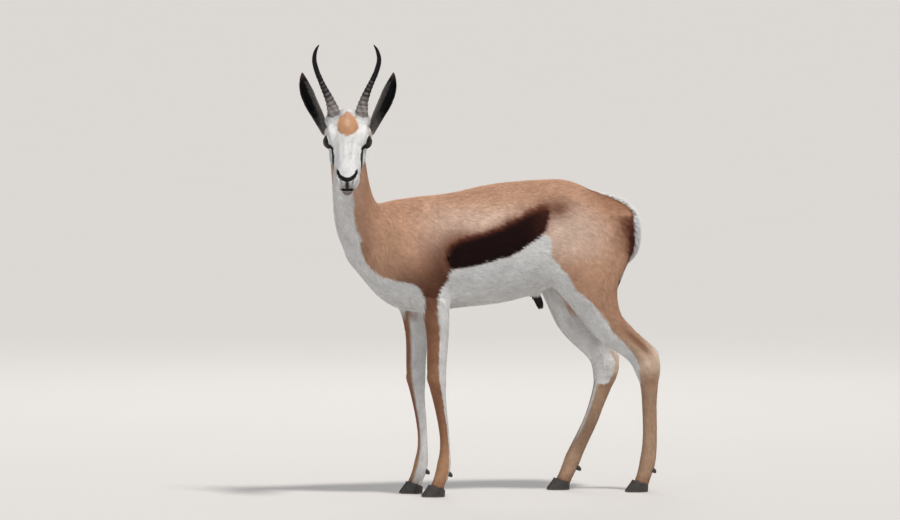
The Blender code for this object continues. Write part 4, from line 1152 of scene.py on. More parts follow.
        # dark patch before the eye: the gland's own dark, drawn larger as painted shadow under the brow
        line = np.array([in_head(k[0], side * k[1], k[2]) for k in [(77, 43, -25), (83, 40, -24), (89, 36, -21)]])
        r, place = distance_to(p[at], line)
        half = np.interp(place, [0, 0.5, 1], [6.5, 6.0, 2.5])
        dark = 1 - ramp(r - half + 0.8 * m, -1.0, 1.2)
        near_3d = (1 - ramp(r, 14.5, 16.5)) * ramp(w - np.interp(place, [0, 0.5, 1], [-25, -24, -21]), -7.5, -5)
        r, place = flat_distance(xy, [(side * k[0], k[1]) for k in [(-50, 66), (-45, 74), (-40.5, 84), (-39, 91)]])
        half = np.interp(place, [0, 0.3, 0.65, 1], [3.0, 7.0, 7.2, 3.0])
        dark = np.maximum(dark, (1 - ramp(r - half + 0.5 * m, -0.8, 1.2)) * near_3d)
        head = mixed(head, (0.012, 0.008, 0.008), dark * 0.98)
    # thin grey lines along the bridge
    r = np.abs(av - np.interp(u, [50, 80, 125], [17, 11, 9]) - 1.5 * cloud(p[at], 13.0))
    head = mixed(head, GREY_WHITE, 0.6 * np.exp(-(r / 3.6) ** 2) * ramp(u, 55, 75) * (1 - ramp(u, 115, 138)) * ramp(w, -30, -12))
    # nose: a black U between the nostrils, the cleft, the lips
    muzzle = ramp(u, 118, 130)
    r, place = flat_distance(xy, [(-25.0, 139), (-22.8, 147), (-17.5, 155.5), (-9, 162), (0, 164.5), (9, 162), (17.5, 155.5), (22.8, 147), (25.0, 139)])
    half = np.interp(place, [0, 0.12, 0.3, 0.5, 0.7, 0.88, 1], [1.6, 3.2, 4.8, 6.0, 4.8, 3.2, 1.6])
    nose = (1 - ramp(r - half + 0.35 * m, -0.6, 0.7)) * muzzle * ramp(facing, -0.15, 0.15)
    for line in nostrils:
        r, _ = distance_to(p[at], line)
        nose = np.maximum(nose, (1 - ramp(r, 1.9, 3.1)))
    # painted shade: grey on the middle of the upper lip, under the nose
    head = mixed(head, (0.28, 0.25, 0.245), 0.7 * muzzle * (1 - ramp(av, 10, 24)) * ramp(xy[:, 1], 168, 182))
    r, _ = distance_to(p[at], philtrum)
    nose = np.maximum(nose, 0.95 * (1 - ramp(r + 0.6 * m, 2.6, 7.0)) * muzzle)
    r, place = distance_to(p[at], mouth)
    lips = np.maximum((1 - ramp(r, 1.6, 4.2)) * (0.50 + 0.50 * np.exp(-(v / 18) ** 2)), (1 - ramp(r, 3.6, 6.4)) * (1 - ramp(av, 12, 18)))
    nose = np.maximum(nose, lips)
    below = ramp((p[at] - in_head(187, 0, -57)) @ -W, -1, 2) * ramp(u, 150, 168) * (1 - ramp(av, 9, 15))
    head = mixed(head, (0.20, 0.155, 0.15), 0.75 * below)
    nose = np.maximum(nose, 0.92 * np.exp(-(r / 6.5) ** 2) * np.exp(-(v / 14.5) ** 4) * muzzle)
    head = mixed(head, NOSE_BLACK, nose)
    # lids
    for side in (-1, 1):
        xy, r, front = eye_place(p[at], side)
        s = inside_by(xy, LID)
        lid = (1 - ramp(s + 0.5 * m, 1.6, 3.4)) * ramp(front, 0.0, 0.3) * (r < 30)
        lid = np.maximum(lid, 0.75 * (1 - ramp(s + 1.0 * m, 2.6, 6.2)) * ramp(xy[:, 0], -16, 2) * (xy[:, 1] < 8) * ramp(front, 0.0, 0.3) * (r < 30))
        head = mixed(head, (0.013, 0.010, 0.010), lid)
    # the cheek under the eye stays white
    for side in (-1, 1):
        r, _ = distance_to(p[at], np.array([in_head(82.5, side * 43, -38.5), in_head(91, side * 42, -42)]))
        head = mixed(head, WHITE, 1 - ramp(r, 4.5, 7.0))
    c[at] = head

    # ears
    for side, number in ((-1, 4), (1, 5)):
        at = np.where(part == number)[0]
        if not len(at):
            continue
        across, share, f, t0 = ear_place(p[at], side)
        m = fine_mottle[at]
        opens = (n[at] * f).sum(1)
        back = mixed(np.tile(np.array(EAR_BACK), (len(at), 1)), FACE_TAN, 0.5 * (1 - ramp(share, 0.25, 0.6)))
        back = mixed(back, (0.16, 0.10, 0.075), 0.6 * ramp(share, 0.84, 0.96))
        inside = np.tile(np.array(EAR_BLACK), (len(at), 1))
        low = share + 0.05 * m - 0.10 * across
        inside = mixed(inside, (0.10, 0.092, 0.088), 0.9 * (1 - ramp(low, 0.34, 0.56)))
        # lighter grey low inside the ear, partly raised as painted light against the hollow's shade
        inside = mixed(inside, (0.22, 0.20, 0.19), 1 - ramp(low, 0.24, 0.42))
        band = ramp(across + 0.14 * m + 0.8 * (0.42 - share), 0.05, 0.50) * (1 - ramp(share, 0.52, 0.78))
        inside = mixed(inside, EAR_GREY, band)
        inside = mixed(inside, (0.30, 0.28, 0.27), 0.55 * np.exp(-((across - 0.72) / 0.14) ** 2) * (1 - ramp(share, 0.55, 0.85)))
        inside = mixed(inside, (0.095, 0.060, 0.048), 0.7 * ramp(-across, 0.78, 0.92) * ramp(share, 0.3, 0.5))
        inside = mixed(inside, (0.085, 0.055, 0.045), 0.7 * ramp(share, 0.86, 0.97))
        face_in = ramp(opens, -0.15, 0.15) * (1 - ramp(np.abs(across), 0.90, 0.985))
        c[at] = back + (inside - back) * face_in[:, None]

    # the sheath's dark tuft
    r, place = distance_to(p, np.array([(95, 0, 503), (103, 0, 484), (107, 0, 467)], float))
    c = mixed(c, (0.030, 0.022, 0.021), np.where(np.abs(y) < 22, (1 - ramp(r, 18, 24)) * ramp(-z, -499, -491), 0))
    light = 1 + 0.07 * mottle + 0.06 * fine_mottle
    return np.clip(c * light[:, None], 0.0012, 0.9)


def coloured(mesh, colours):
    layer = mesh.color_attributes.new("coat", "FLOAT_COLOR", "POINT")
    rgba = np.ones((len(mesh.vertices), 4), np.float32)
    rgba[:, :3] = colours
    layer.data.foreach_set("color", rgba.ravel())


p, n = places(skin.data), normals(skin.data)
part = sort_out(p)
coloured(skin.data, markings(p, n, part))
skin.data.polygons.foreach_set("use_smooth", [True] * len(skin.data.polygons))

# ---------------------------------------------------------------- the lie of the coat
def lie_of(p, n, part):
    """the way the hair points, along the skin"""
    x, y, z = p.T
    d = np.tile(np.array([1.0, 0.0, -0.30]), (len(p), 1))
    d = mixed(d, (1.0, 0, 0.0), ramp(z, 720, 752))
    d = mixed(d, (0.72, 0, -0.72), (1 - ramp(x, -205, -110)) * (1 - ramp(z, 700, 750)))
    d = mixed(d, (0.30, 0, -0.95), (1 - ramp(x, -345, -290)) * (1 - ramp(z, 640, 700)))
    d = mixed(d, (0.45, 0, -0.9), ramp(x, 130, 250) * (1 - ramp(z, 640, 720)))
    d = mixed(d, (0.75, 0, -0.66), ramp(x, 235, 330) * ramp(z, 600, 680))
    d = mixed(d, (0.25, 0, -1.0), ramp(x, 300, 335) * (1 - ramp(z, 650, 700)))
    d = mixed(d, (1.0, 0, -0.1), (1 - ramp(z, 520, 560)) * (part == 0))
    d[:, 1] += 0.25 * np.sign(y) * (1 - ramp(np.abs(y), 30, 60)) * ramp(z, 700, 740)
    at = np.where(part == 1)[0]
    k = nearest_station(p[at], NECK_LINE[0])
    t0 = NECK_LINE[1][k]
    d[at] = t0 * np.sign(-t0[:, 2:3]) + np.array([0.30, 0.0, 0.0])
    for i, leg in enumerate(JOINTS):
        at = np.where(part == 6 + i)[0]
        c, t0, l, v, q, count = LEG_LINES[leg]
        k = nearest_station(p[at], c)
        way = t0[k] * np.sign(-t0[k, 2:3])
        low = (1 - ramp(z[at], 400, 540))[:, None]
        d[at] = d[at] * (1 - low) + (way - 0.18 * v[k]) * low
    at = np.where(part == 2)[0]
    h = head_place(p[at])
    way = -1.0 * U[None, :] + 0.30 * np.sign(h[:, 1:2]) * V[None, :] * ramp(np.abs(h[:, 1:2]), 4, 30)
    way = way - (0.55 * ramp(-h[:, 2:3], 30, 70)) * W[None, :]
    way = way + 0.9 * U[None, :] * ((1 - ramp(h[:, 0], 30, 52)) * ramp(-h[:, 2], -20, 20))[:, None]
    d[at] = way
    for side, number in ((-1, 4), (1, 5)):
        at = np.where(part == number)[0]
        if len(at):
            across, share, f, t0 = ear_place(p[at], side)
            d[at] = t0
    at = np.where(part == 3)[0]
    if len(at):
        _, place = distance_to(p[at], tail_table[:, :3])
        d[at] = np.stack([-0.2 + 0 * place, 0 * place, -1 + 0 * place], 1)
    d = d - (d * n).sum(1, keepdims=True) * n
    return unit(d)


# ---------------------------------------------------------------- the unwrap that the coat's pieces share
def shape_unwrap():
    mesh = skin.data.copy()
    copy = bpy.data.objects.new("unwrap", mesh)
    scene.collection.objects.link(copy)
    thin = copy.modifiers.new("thin", "DECIMATE")
    thin.ratio = 11000 / len(mesh.polygons)
    settled(copy)
    for obj in list(bpy.context.selected_objects):
        obj.select_set(False)
    copy.select_set(True)
    bpy.context.view_layer.objects.active = copy
    bpy.ops.object.mode_set(mode="EDIT")
    bpy.ops.mesh.select_all(action="SELECT")
    bpy.ops.uv.smart_project(angle_limit=math.radians(66), island_margin=0.006)
    bpy.ops.object.mode_set(mode="OBJECT")
    mesh = copy.data
    mesh.calc_loop_triangles()
    m = len(mesh.loop_triangles)
    tri, loops = np.empty(m * 3, np.int32), np.empty(m * 3, np.int32)
    mesh.loop_triangles.foreach_get("vertices", tri)
    mesh.loop_triangles.foreach_get("loops", loops)
    uv = np.empty(len(mesh.loops) * 2, np.float32)
    mesh.uv_layers.active.data.foreach_get("uv", uv)
    co = np.empty(len(mesh.vertices) * 3, np.float32)
    mesh.vertices.foreach_get("co", co)
    co, tri = co.reshape(-1, 3).astype(float), tri.reshape(-1, 3)
    corner = uv.reshape(-1, 2)[loops.reshape(-1, 3)]
    tree = BVHTree.FromPolygons(co.tolist(), tri.tolist(), all_triangles=True)
    bpy.data.objects.remove(copy)
    return tree, co[tri], corner


UNWRAP, UNWRAP_CORNERS, UNWRAP_UV = shape_unwrap()


def unwrap_place(p):
    """the place on the unwrap of the skin's nearest point"""
    m = (p - ORIGIN) * MM
    index = np.zeros(len(m), int)
    place = np.zeros((len(m), 3))
    for i, q in enumerate(m.tolist()):
        found = UNWRAP.find_nearest(q)
        index[i], place[i] = found[2], found[0]
    a, b, c = UNWRAP_CORNERS[index].transpose(1, 0, 2)
    v0, v1, v2 = b - a, c - a, place - a
    d00, d01, d11 = (v0 * v0).sum(1), (v0 * v1).sum(1), (v1 * v1).sum(1)
    d20, d21 = (v2 * v0).sum(1), (v2 * v1).sum(1)
    den = np.maximum(d00 * d11 - d01 * d01, 1e-18)
    k1, k2 = (d11 * d20 - d01 * d21) / den, (d00 * d21 - d01 * d20) / den
    uv = UNWRAP_UV[index]
    uv = (1 - k1 - k2)[:, None] * uv[:, 0] + k1[:, None] * uv[:, 1] + k2[:, None] * uv[:, 2]
    return np.clip(uv, 0.003, 0.997)


SKIN_TREE = tree_of(skin.data)


def laid(p, lift):
    """points set over the nearest skin by their lift, mm"""
    m = (p - ORIGIN) * MM
    found = np.empty((len(m), 6))
    for i, q in enumerate(m.tolist()):
        place, normal, _, _ = SKIN_TREE.find_nearest(q)
        found[i, :3], found[i, 3:] = place, normal
    return found[:, :3] / MM + ORIGIN + found[:, 3:] * lift[:, None]


coat_pieces = []
MOST_TUFTS = 48000


def hair_mesh(name, points, faces, shade, colours, uv, count, slot):
    """one joined mesh of tufts; points (k, m, 3), faces of one tuft, shade normals (k, m, 3), colours (k, m, 3), uv (k, m, 2)"""
    k, m = points.shape[:2]
    f = np.array(faces, np.int32)
    mesh = bpy.data.meshes.new(name)
    mesh.vertices.add(k * m)
    mesh.vertices.foreach_set("co", ((points.reshape(-1, 3) - ORIGIN) * MM).astype(np.float32).ravel())
    index = (np.arange(k, dtype=np.int32)[:, None, None] * m + f[None]).reshape(-1)
    mesh.loops.add(len(index))
    mesh.loops.foreach_set("vertex_index", index)
    mesh.polygons.add(len(index) // 3)
    mesh.polygons.foreach_set("loop_start", np.arange(0, len(index), 3, dtype=np.int32))
    mesh.polygons.foreach_set("use_smooth", [True] * (len(index) // 3))
    mesh.update(calc_edges=True)
    layer = mesh.uv_layers.new(name="OFBake")
    layer.data.foreach_set("uv", uv.reshape(-1, 2)[index].astype(np.float32).ravel())
    coloured(mesh, colours.reshape(-1, 3))
    mesh.normals_split_custom_set_from_vertices(shade.reshape(-1, 3).astype(np.float32))
    obj = bpy.data.objects.new(name, mesh)
    scene.collection.objects.link(obj)
    coat_pieces.append((obj, slot))
    return obj


SHORT = [(0, 2, 1), (0, 1, 3), (0, 3, 2), (1, 2, 3)]
LONG = [(0, 2, 1), (0, 1, 4), (0, 4, 3), (0, 3, 5), (0, 5, 2), (1, 2, 5), (1, 5, 4), (3, 4, 6), (3, 6, 5), (4, 5, 6)]
UV_SHORT = np.array([(-0.0013, -0.0013), (0.0013, -0.0013), (0.0, -0.0004), (0.0, 0.0015)])
UV_LONG = np.array([(-0.0013, -0.0014), (0.0013, -0.0014), (0.0, -0.0008), (-0.0009, 0.0), (0.0009, 0.0), (0.0, 0.0004), (0.0, 0.0015)])


def short_tufts(name, p, n, d, length, width, lift, colour, slot="coat_tan"):
    side = np.cross(n, d)
    tip = laid(p + d * length[:, None], lift)
    base = p - n * 0.35
    points = np.stack([base - side * (width / 2)[:, None], base + side * (width / 2)[:, None], p + n * (0.12 + 0.10 * lift)[:, None], tip], 1)
    own = unit(np.cross(side, unit(tip - p)))
    own *= np.sign((own * n).sum(1, keepdims=True))
    shade = unit(0.75 * n + 0.25 * own)
    shades = np.stack([unit(shade - 0.20 * side), unit(shade + 0.20 * side), shade, shade], 1)
    colours = np.repeat(colour[:, None, :], 4, 1) * np.array([0.92, 0.92, 0.97, 1.05])[None, :, None]
    uv = unwrap_place(p)[:, None, :] + UV_SHORT[None]
    order = np.argsort(uv[:, 0, 0], kind="stable")
    blocks = max(1, math.ceil(len(p) / MOST_TUFTS))
    for i, at in enumerate(np.array_split(np.arange(len(p)), blocks)):
        hair_mesh(name if blocks == 1 else "%s_%d" % (name, i + 1), points[at], SHORT, shades[at], colours[at], uv[at], len(at), slot)


def long_hairs(name, p, n, way, sag, length, width, colour, tip_colour=None, slot="coat_tan"):
    """standing hairs: they leave along way and bend by sag"""
    side = np.cross(n, way)
    side = unit(side + 1e-6)
    up = unit(np.cross(side, way) * np.sign((np.cross(side, way) * n).sum(1, keepdims=True)))
    mid = p + way * (0.5 * length)[:, None] + sag * (0.25 * length)[:, None]
    tip = p + way * (0.92 * length)[:, None] + sag * length[:, None]
    base = p - n * 0.5
    w = (width / 2)[:, None]
    points = np.stack([base - side * w, base + side * w, base + up * w * 1.4, mid - side * w * 0.7, mid + side * w * 0.7, mid + up * w, tip], 1)
    shade = unit(0.6 * n + 0.4 * up)
    shades = np.stack([shade] * 7, 1)
    colours = np.repeat(colour[:, None, :], 7, 1)
    if tip_colour is not None:
        colours[:, 6] = tip_colour
    uv = unwrap_place(p)[:, None, :] + UV_LONG[None]
    most = 19000
    blocks = max(1, math.ceil(len(p) / most))
    for i, at in enumerate(np.array_split(np.arange(len(p)), blocks)):
        hair_mesh(name if blocks == 1 else "%s_%d" % (name, i + 1), points[at], LONG, shades[at], colours[at], uv[at], len(at), slot)


# ---------------------------------------------------------------- roots, spread over the skin
skin.data.calc_loop_triangles()
tri = np.empty(len(skin.data.loop_triangles) * 3, np.int32)
skin.data.loop_triangles.foreach_get("vertices", tri)
tri = tri.reshape(-1, 3)
SKIN_P, SKIN_N = places(skin.data), normals(skin.data)
SKIN_PART = sort_out(SKIN_P)
corners = SKIN_P[tri]
area = 0.5 * np.linalg.norm(np.cross(corners[:, 1] - corners[:, 0], corners[:, 2] - corners[:, 0]), axis=1)
TRI_PART = SKIN_PART[tri[:, 0]]
TRI_MID = corners.mean(1)
TRI_H = head_place(TRI_MID)


def roots(which, per_mm2):
    """random roots on the chosen triangles: place, normal"""
    index = np.where(which)[0]
    weight = area[index] * (per_mm2[index] if np.ndim(per_mm2) else per_mm2)
    total = int(weight.sum())
    pick = index[np.searchsorted(np.cumsum(weight), rng.uniform(0, weight.sum(), total))]
    r1, r2 = np.sqrt(rng.uniform(size=total)), rng.uniform(size=total)
    k = np.stack([1 - r1, r1 * (1 - r2), r1 * r2], 1)
    p = (SKIN_P[tri[pick]] * k[:, :, None]).sum(1)
    n = unit((SKIN_N[tri[pick]] * k[:, :, None]).sum(1))
    return p, n


def combed(p, n, part, spread):
    """the lie with a few degrees of straying"""
    d = lie_of(p, n, part)
    angle = np.radians(rng.normal(0, spread, len(p)) + 9 * cloud(p, 26.0))
    side = np.cross(n, d)
    return d * np.cos(angle)[:, None] + side * np.sin(angle)[:, None]


# where no coat grows: the nose, the lips' inside, the eyes' openings, the feet below the coronets
bare = face_detail(TRI_MID) < 1.6
xy_front = front_plane(TRI_H)
nose_line = [(-20, 153), (-9, 163), (0, 165.5), (9, 163), (20, 153)]
r, _ = flat_distance(xy_front, nose_line)
bare |= (TRI_PART == 2) & (r < 4.6) & (TRI_H[:, 0] > 120)
for side in (-1, 1):
    xy, r, front = eye_place(TRI_MID, side)
    bare |= (r < 30) & (front > 0.1) & (inside_by(xy, LID) < 1.8)
for foot in FEET:
    point, down = coronet(foot)
    bare |= (TRI_PART == 6 + list(JOINTS).index(foot)) & ((TRI_MID - point) @ down > -1.0)

body_parts = (TRI_PART == 0) | (TRI_PART == 1)
low_leg = (TRI_PART >= 6) & (TRI_MID[:, 2] < 420)
high_leg = (TRI_PART >= 6) & ~low_leg


def coat_over(name, which, per_mm2, length, width, lift, spread=9.0):
    p, n = roots(which & ~bare, per_mm2)
    part = sort_out(p)
    d = combed(p, n, part, spread)
    k = rng.uniform(0.75, 1.25, len(p))
    stray = p + d * (0.40 * length * k)[:, None] + rng.normal(0, 1.0, p.shape) * length * 0.09
    colour = markings(stray, n, part)
    lock = cloud_2(p * np.array([0.45, 1.0, 1.0]) + 300.0, 2.6 if length > 8 else 1.7)
    colour *= (rng.uniform(0.80, 1.16, len(p)) * (1 + 0.16 * lock))[:, None]
    short_tufts(name, p, n, d, length * k, width * rng.uniform(0.75, 1.2, len(p)), lift * rng.uniform(0.35, 1.0, len(p)), np.clip(colour, 0.003, 0.92))
    print(name, len(p))


coat_over("coat_trunk", TRI_PART == 0, 0.210, 12.0, 1.30, 2.2)
coat_over("coat_neck", TRI_PART == 1, 0.24, 11.0, 1.2, 1.8)
coat_over("coat_thighs", high_leg, 0.21, 11.0, 1.3, 2.0)
coat_over("coat_legs", low_leg, 0.42, 6.0, 0.9, 1.1, 7.0)
coat_over("coat_head", TRI_PART == 2, 0.76, 4.4, 0.60, 0.65, 8.0)
coat_over("coat_ears", (TRI_PART == 4) | (TRI_PART == 5), 0.30, 4.2, 0.7, 0.5, 7.0)
coat_over("coat_tail", TRI_PART == 3, 0.5, 11.0, 0.9, 2.2)

# the white crest of the rump, which stands out
half = np.interp(TRI_MID[:, 2], *np.array(RUMP_HALF, float).T)
half = np.where(TRI_MID[:, 2] > 700, np.interp(TRI_MID[:, 0], [215, 225, 260, 290, 320, 345], [0, 6, 7, 15, 28, 40]), half)
crest = (TRI_PART == 0) & (TRI_MID[:, 2] > 500) & (np.abs(TRI_MID[:, 1]) < half - 1) & \
    np.where(TRI_MID[:, 2] > 690, TRI_MID[:, 0] > 232, TRI_MID[:, 0] > 270)
p, n = roots(crest, 0.34)
d = combed(p, n, sort_out(p), 10.0)
k = rng.uniform(0.50, 1.12, len(p))
rise = rng.uniform(0.25, 0.85, len(p))[:, None]
grow = np.interp(p[:, 2], [500, 560, 600, 645, 700, 760], [6, 7, 10, 18, 24, 16]) * np.interp(p[:, 0], [232, 262, 300], [0.7, 0.9, 1.0])
rise = rise + (0.40 * ramp(p[:, 2], 655, 700) * ramp(p[:, 0], 236, 268))[:, None]
white = np.tile(np.array(WHITE), (len(p), 1)) * rng.uniform(0.88, 1.08, len(p))[:, None]
long_hairs("crest_white", p, n, unit(d + n * rise), np.tile([0.0, 0.0, -0.10], (len(p), 1)), grow * k, rng.uniform(0.7, 1.0, len(p)), white)
# its dark edge, where the brown hair breaks over the white
edge = (TRI_PART == 0) & (TRI_MID[:, 2] > 545) & (np.abs(np.abs(TRI_MID[:, 1]) - half - 9) < 11) & \
    np.where(TRI_MID[:, 2] > 690, TRI_MID[:, 0] > 240, TRI_MID[:, 0] > 270)
p, n = roots(edge & (rng.uniform(0, 1, len(edge)) > 0.6 * (TRI_MID[:, 2] > 690)), 0.17)
part = sort_out(p)
d = combed(p, n, part, 13.0)
long_hairs("crest_edge", p, n, unit(d + n * 0.30), np.tile([0.0, 0.0, -0.06], (len(p), 1)), rng.uniform(10, 19, len(p)),
           rng.uniform(0.6, 0.95, len(p)), markings(p, n, part) * rng.uniform(0.7, 1.2, len(p))[:, None])

# tail: long hair, ending in a dark tuft
p, n = roots(TRI_PART == 3, 0.55)
d = combed(p, n, np.full(len(p), 3), 8.0)
_, place = distance_to(p, tail_table[:, :3])
k = np.interp(place, [0, 0.3, 0.8, 1.0], [8, 10, 13, 18])
colour = markings(p, n, np.full(len(p), 3))
long_hairs("tail_hair", p, n, unit(d + 0.16 * n), np.tile([-0.02, 0.0, -0.08], (len(p), 1)), k * rng.uniform(0.6, 1.1, len(p)),
           rng.uniform(0.6, 0.9, len(p)), colour * rng.uniform(0.85, 1.1, len(p))[:, None])

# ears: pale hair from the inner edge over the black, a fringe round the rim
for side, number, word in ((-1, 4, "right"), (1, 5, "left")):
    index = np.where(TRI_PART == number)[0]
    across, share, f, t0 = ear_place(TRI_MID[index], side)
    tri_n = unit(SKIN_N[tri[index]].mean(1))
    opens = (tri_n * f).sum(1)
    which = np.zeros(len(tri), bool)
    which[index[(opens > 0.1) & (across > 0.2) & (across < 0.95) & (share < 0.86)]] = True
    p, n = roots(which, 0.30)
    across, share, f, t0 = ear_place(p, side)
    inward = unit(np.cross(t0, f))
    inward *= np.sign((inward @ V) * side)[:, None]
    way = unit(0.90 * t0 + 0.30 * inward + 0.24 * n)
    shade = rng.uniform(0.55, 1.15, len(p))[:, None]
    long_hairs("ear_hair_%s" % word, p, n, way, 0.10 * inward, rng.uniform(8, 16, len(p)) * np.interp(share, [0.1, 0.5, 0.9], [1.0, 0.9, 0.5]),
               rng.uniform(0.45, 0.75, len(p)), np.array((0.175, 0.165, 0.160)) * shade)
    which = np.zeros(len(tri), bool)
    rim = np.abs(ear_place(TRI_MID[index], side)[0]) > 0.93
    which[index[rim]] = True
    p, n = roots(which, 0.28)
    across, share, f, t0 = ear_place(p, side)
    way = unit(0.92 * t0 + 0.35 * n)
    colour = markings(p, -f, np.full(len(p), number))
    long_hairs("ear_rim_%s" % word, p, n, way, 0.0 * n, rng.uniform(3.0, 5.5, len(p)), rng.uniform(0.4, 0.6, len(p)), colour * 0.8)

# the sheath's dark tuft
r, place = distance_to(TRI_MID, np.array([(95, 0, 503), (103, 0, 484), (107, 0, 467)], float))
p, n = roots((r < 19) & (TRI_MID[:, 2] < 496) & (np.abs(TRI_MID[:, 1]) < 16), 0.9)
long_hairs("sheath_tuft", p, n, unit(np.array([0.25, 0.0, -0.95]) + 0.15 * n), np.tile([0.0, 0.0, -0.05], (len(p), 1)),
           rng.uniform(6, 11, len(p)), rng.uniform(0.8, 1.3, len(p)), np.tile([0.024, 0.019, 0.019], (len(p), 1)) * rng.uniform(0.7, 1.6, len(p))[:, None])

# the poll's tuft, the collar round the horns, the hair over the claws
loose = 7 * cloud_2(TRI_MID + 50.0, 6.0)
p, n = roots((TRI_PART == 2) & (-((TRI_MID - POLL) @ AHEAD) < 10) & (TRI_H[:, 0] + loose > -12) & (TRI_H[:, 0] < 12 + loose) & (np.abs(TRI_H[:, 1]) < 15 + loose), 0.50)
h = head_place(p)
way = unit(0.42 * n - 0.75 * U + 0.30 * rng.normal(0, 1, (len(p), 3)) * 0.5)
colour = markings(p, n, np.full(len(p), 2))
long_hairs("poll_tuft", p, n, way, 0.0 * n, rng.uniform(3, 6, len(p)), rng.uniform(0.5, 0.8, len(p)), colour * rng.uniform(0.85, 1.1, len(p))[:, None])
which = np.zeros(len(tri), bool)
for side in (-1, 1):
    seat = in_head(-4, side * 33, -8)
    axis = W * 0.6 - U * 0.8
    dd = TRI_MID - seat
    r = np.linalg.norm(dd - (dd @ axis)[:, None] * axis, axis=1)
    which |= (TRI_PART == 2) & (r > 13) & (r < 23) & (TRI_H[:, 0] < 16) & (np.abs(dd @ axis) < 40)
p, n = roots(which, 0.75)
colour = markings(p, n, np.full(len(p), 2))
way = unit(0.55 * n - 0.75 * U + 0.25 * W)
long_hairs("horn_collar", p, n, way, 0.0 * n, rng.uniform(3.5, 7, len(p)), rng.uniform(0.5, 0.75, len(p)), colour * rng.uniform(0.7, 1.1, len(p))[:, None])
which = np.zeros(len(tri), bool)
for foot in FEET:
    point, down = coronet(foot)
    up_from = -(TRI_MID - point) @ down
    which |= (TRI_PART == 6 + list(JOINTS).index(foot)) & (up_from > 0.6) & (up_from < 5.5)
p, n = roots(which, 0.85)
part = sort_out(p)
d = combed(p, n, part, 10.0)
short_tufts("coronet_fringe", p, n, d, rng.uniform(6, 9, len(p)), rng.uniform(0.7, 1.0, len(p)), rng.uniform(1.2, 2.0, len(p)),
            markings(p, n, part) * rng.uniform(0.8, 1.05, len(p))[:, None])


# ---------------------------------------------------------------- lashes
def curved_hair(rows, radius, m=5):
    """a tapering hair through a few points"""
    p = np.asarray(rows, float)
    s = np.linspace(0, 1, 7)
    q = flowing(np.linspace(0, 1, len(p)), p, s)
    t0 = unit(np.gradient(q, axis=0))
    a = turn_round(m)
    rings = []
    for c, t, k in zip(q, t0, s):
        l = unit(np.cross(t, [0.31, 0.2, 0.93]))
        rings.append(c + radius * (1 - 0.85 * k) * (np.cos(a)[:, None] * l + np.sin(a)[:, None] * np.cross(t, l)))
    return loft(np.array(rings))


lashes = []
for side in (-1, 1):
    e, d, a_, b_ = eye_axes(side)
    for i in range(24):
        x = -15.5 + 26.0 * i / 23 + rng.uniform(-0.4, 0.4)
        y = 10.6 * (1 - abs(x / 17) ** 2.3) + 0.5
        k = (x * a_ + y * b_) / EYE_RADIUS
        angle = min(np.linalg.norm(k), 1.4)
        way = unit(d * math.cos(angle) + unit(k) * math.sin(angle))
        root = e + way * (EYE_RADIUS + 1.0)
        reach = (9.5 if x < 2 else 7.0) * rng.uniform(0.8, 1.1)
        out = unit(0.85 * way + 0.10 * b_ - 0.38 * a_)
        lashes.append(curved_hair([root, root + out * reach * 0.5 - b_ * 0.5, root + out * reach + b_ * 1.0 - 0.15 * UP * reach], 0.34))
lash_obj = joined("lashes", lashes)


# ---------------------------------------------------------------- horns
HORNS = {
    "right": [(-31, -16, -22, 16), (-33, -17, -8, 17.0), (-36, -18, 8, 15.8), (-44.5, -23, 33, 11.8), (-56.5, -30, 58, 9.2),
              (-68, -37, 83, 7.4), (-78, -42, 108, 6.8), (-83.5, -44, 134, 6.0), (-79, -39, 158, 4.0), (-71.5, -33, 171, 1.3)],
    "left": [(31, -16, -22, 16), (33, -17, -8, 17.0), (35, -18, 8, 15.8), (40.5, -23, 33, 11.8), (50, -30, 58, 9.2),
             (61.5, -37, 83, 7.4), (72, -42, 108, 6.8), (77.5, -44, 134, 6.0), (72, -39, 158, 4.0), (64.5, -33, 171, 1.3)],
}
RING_AT = np.array([27, 38, 49.5, 61, 72.5, 84, 95, 105.5, 115.5, 124.5])


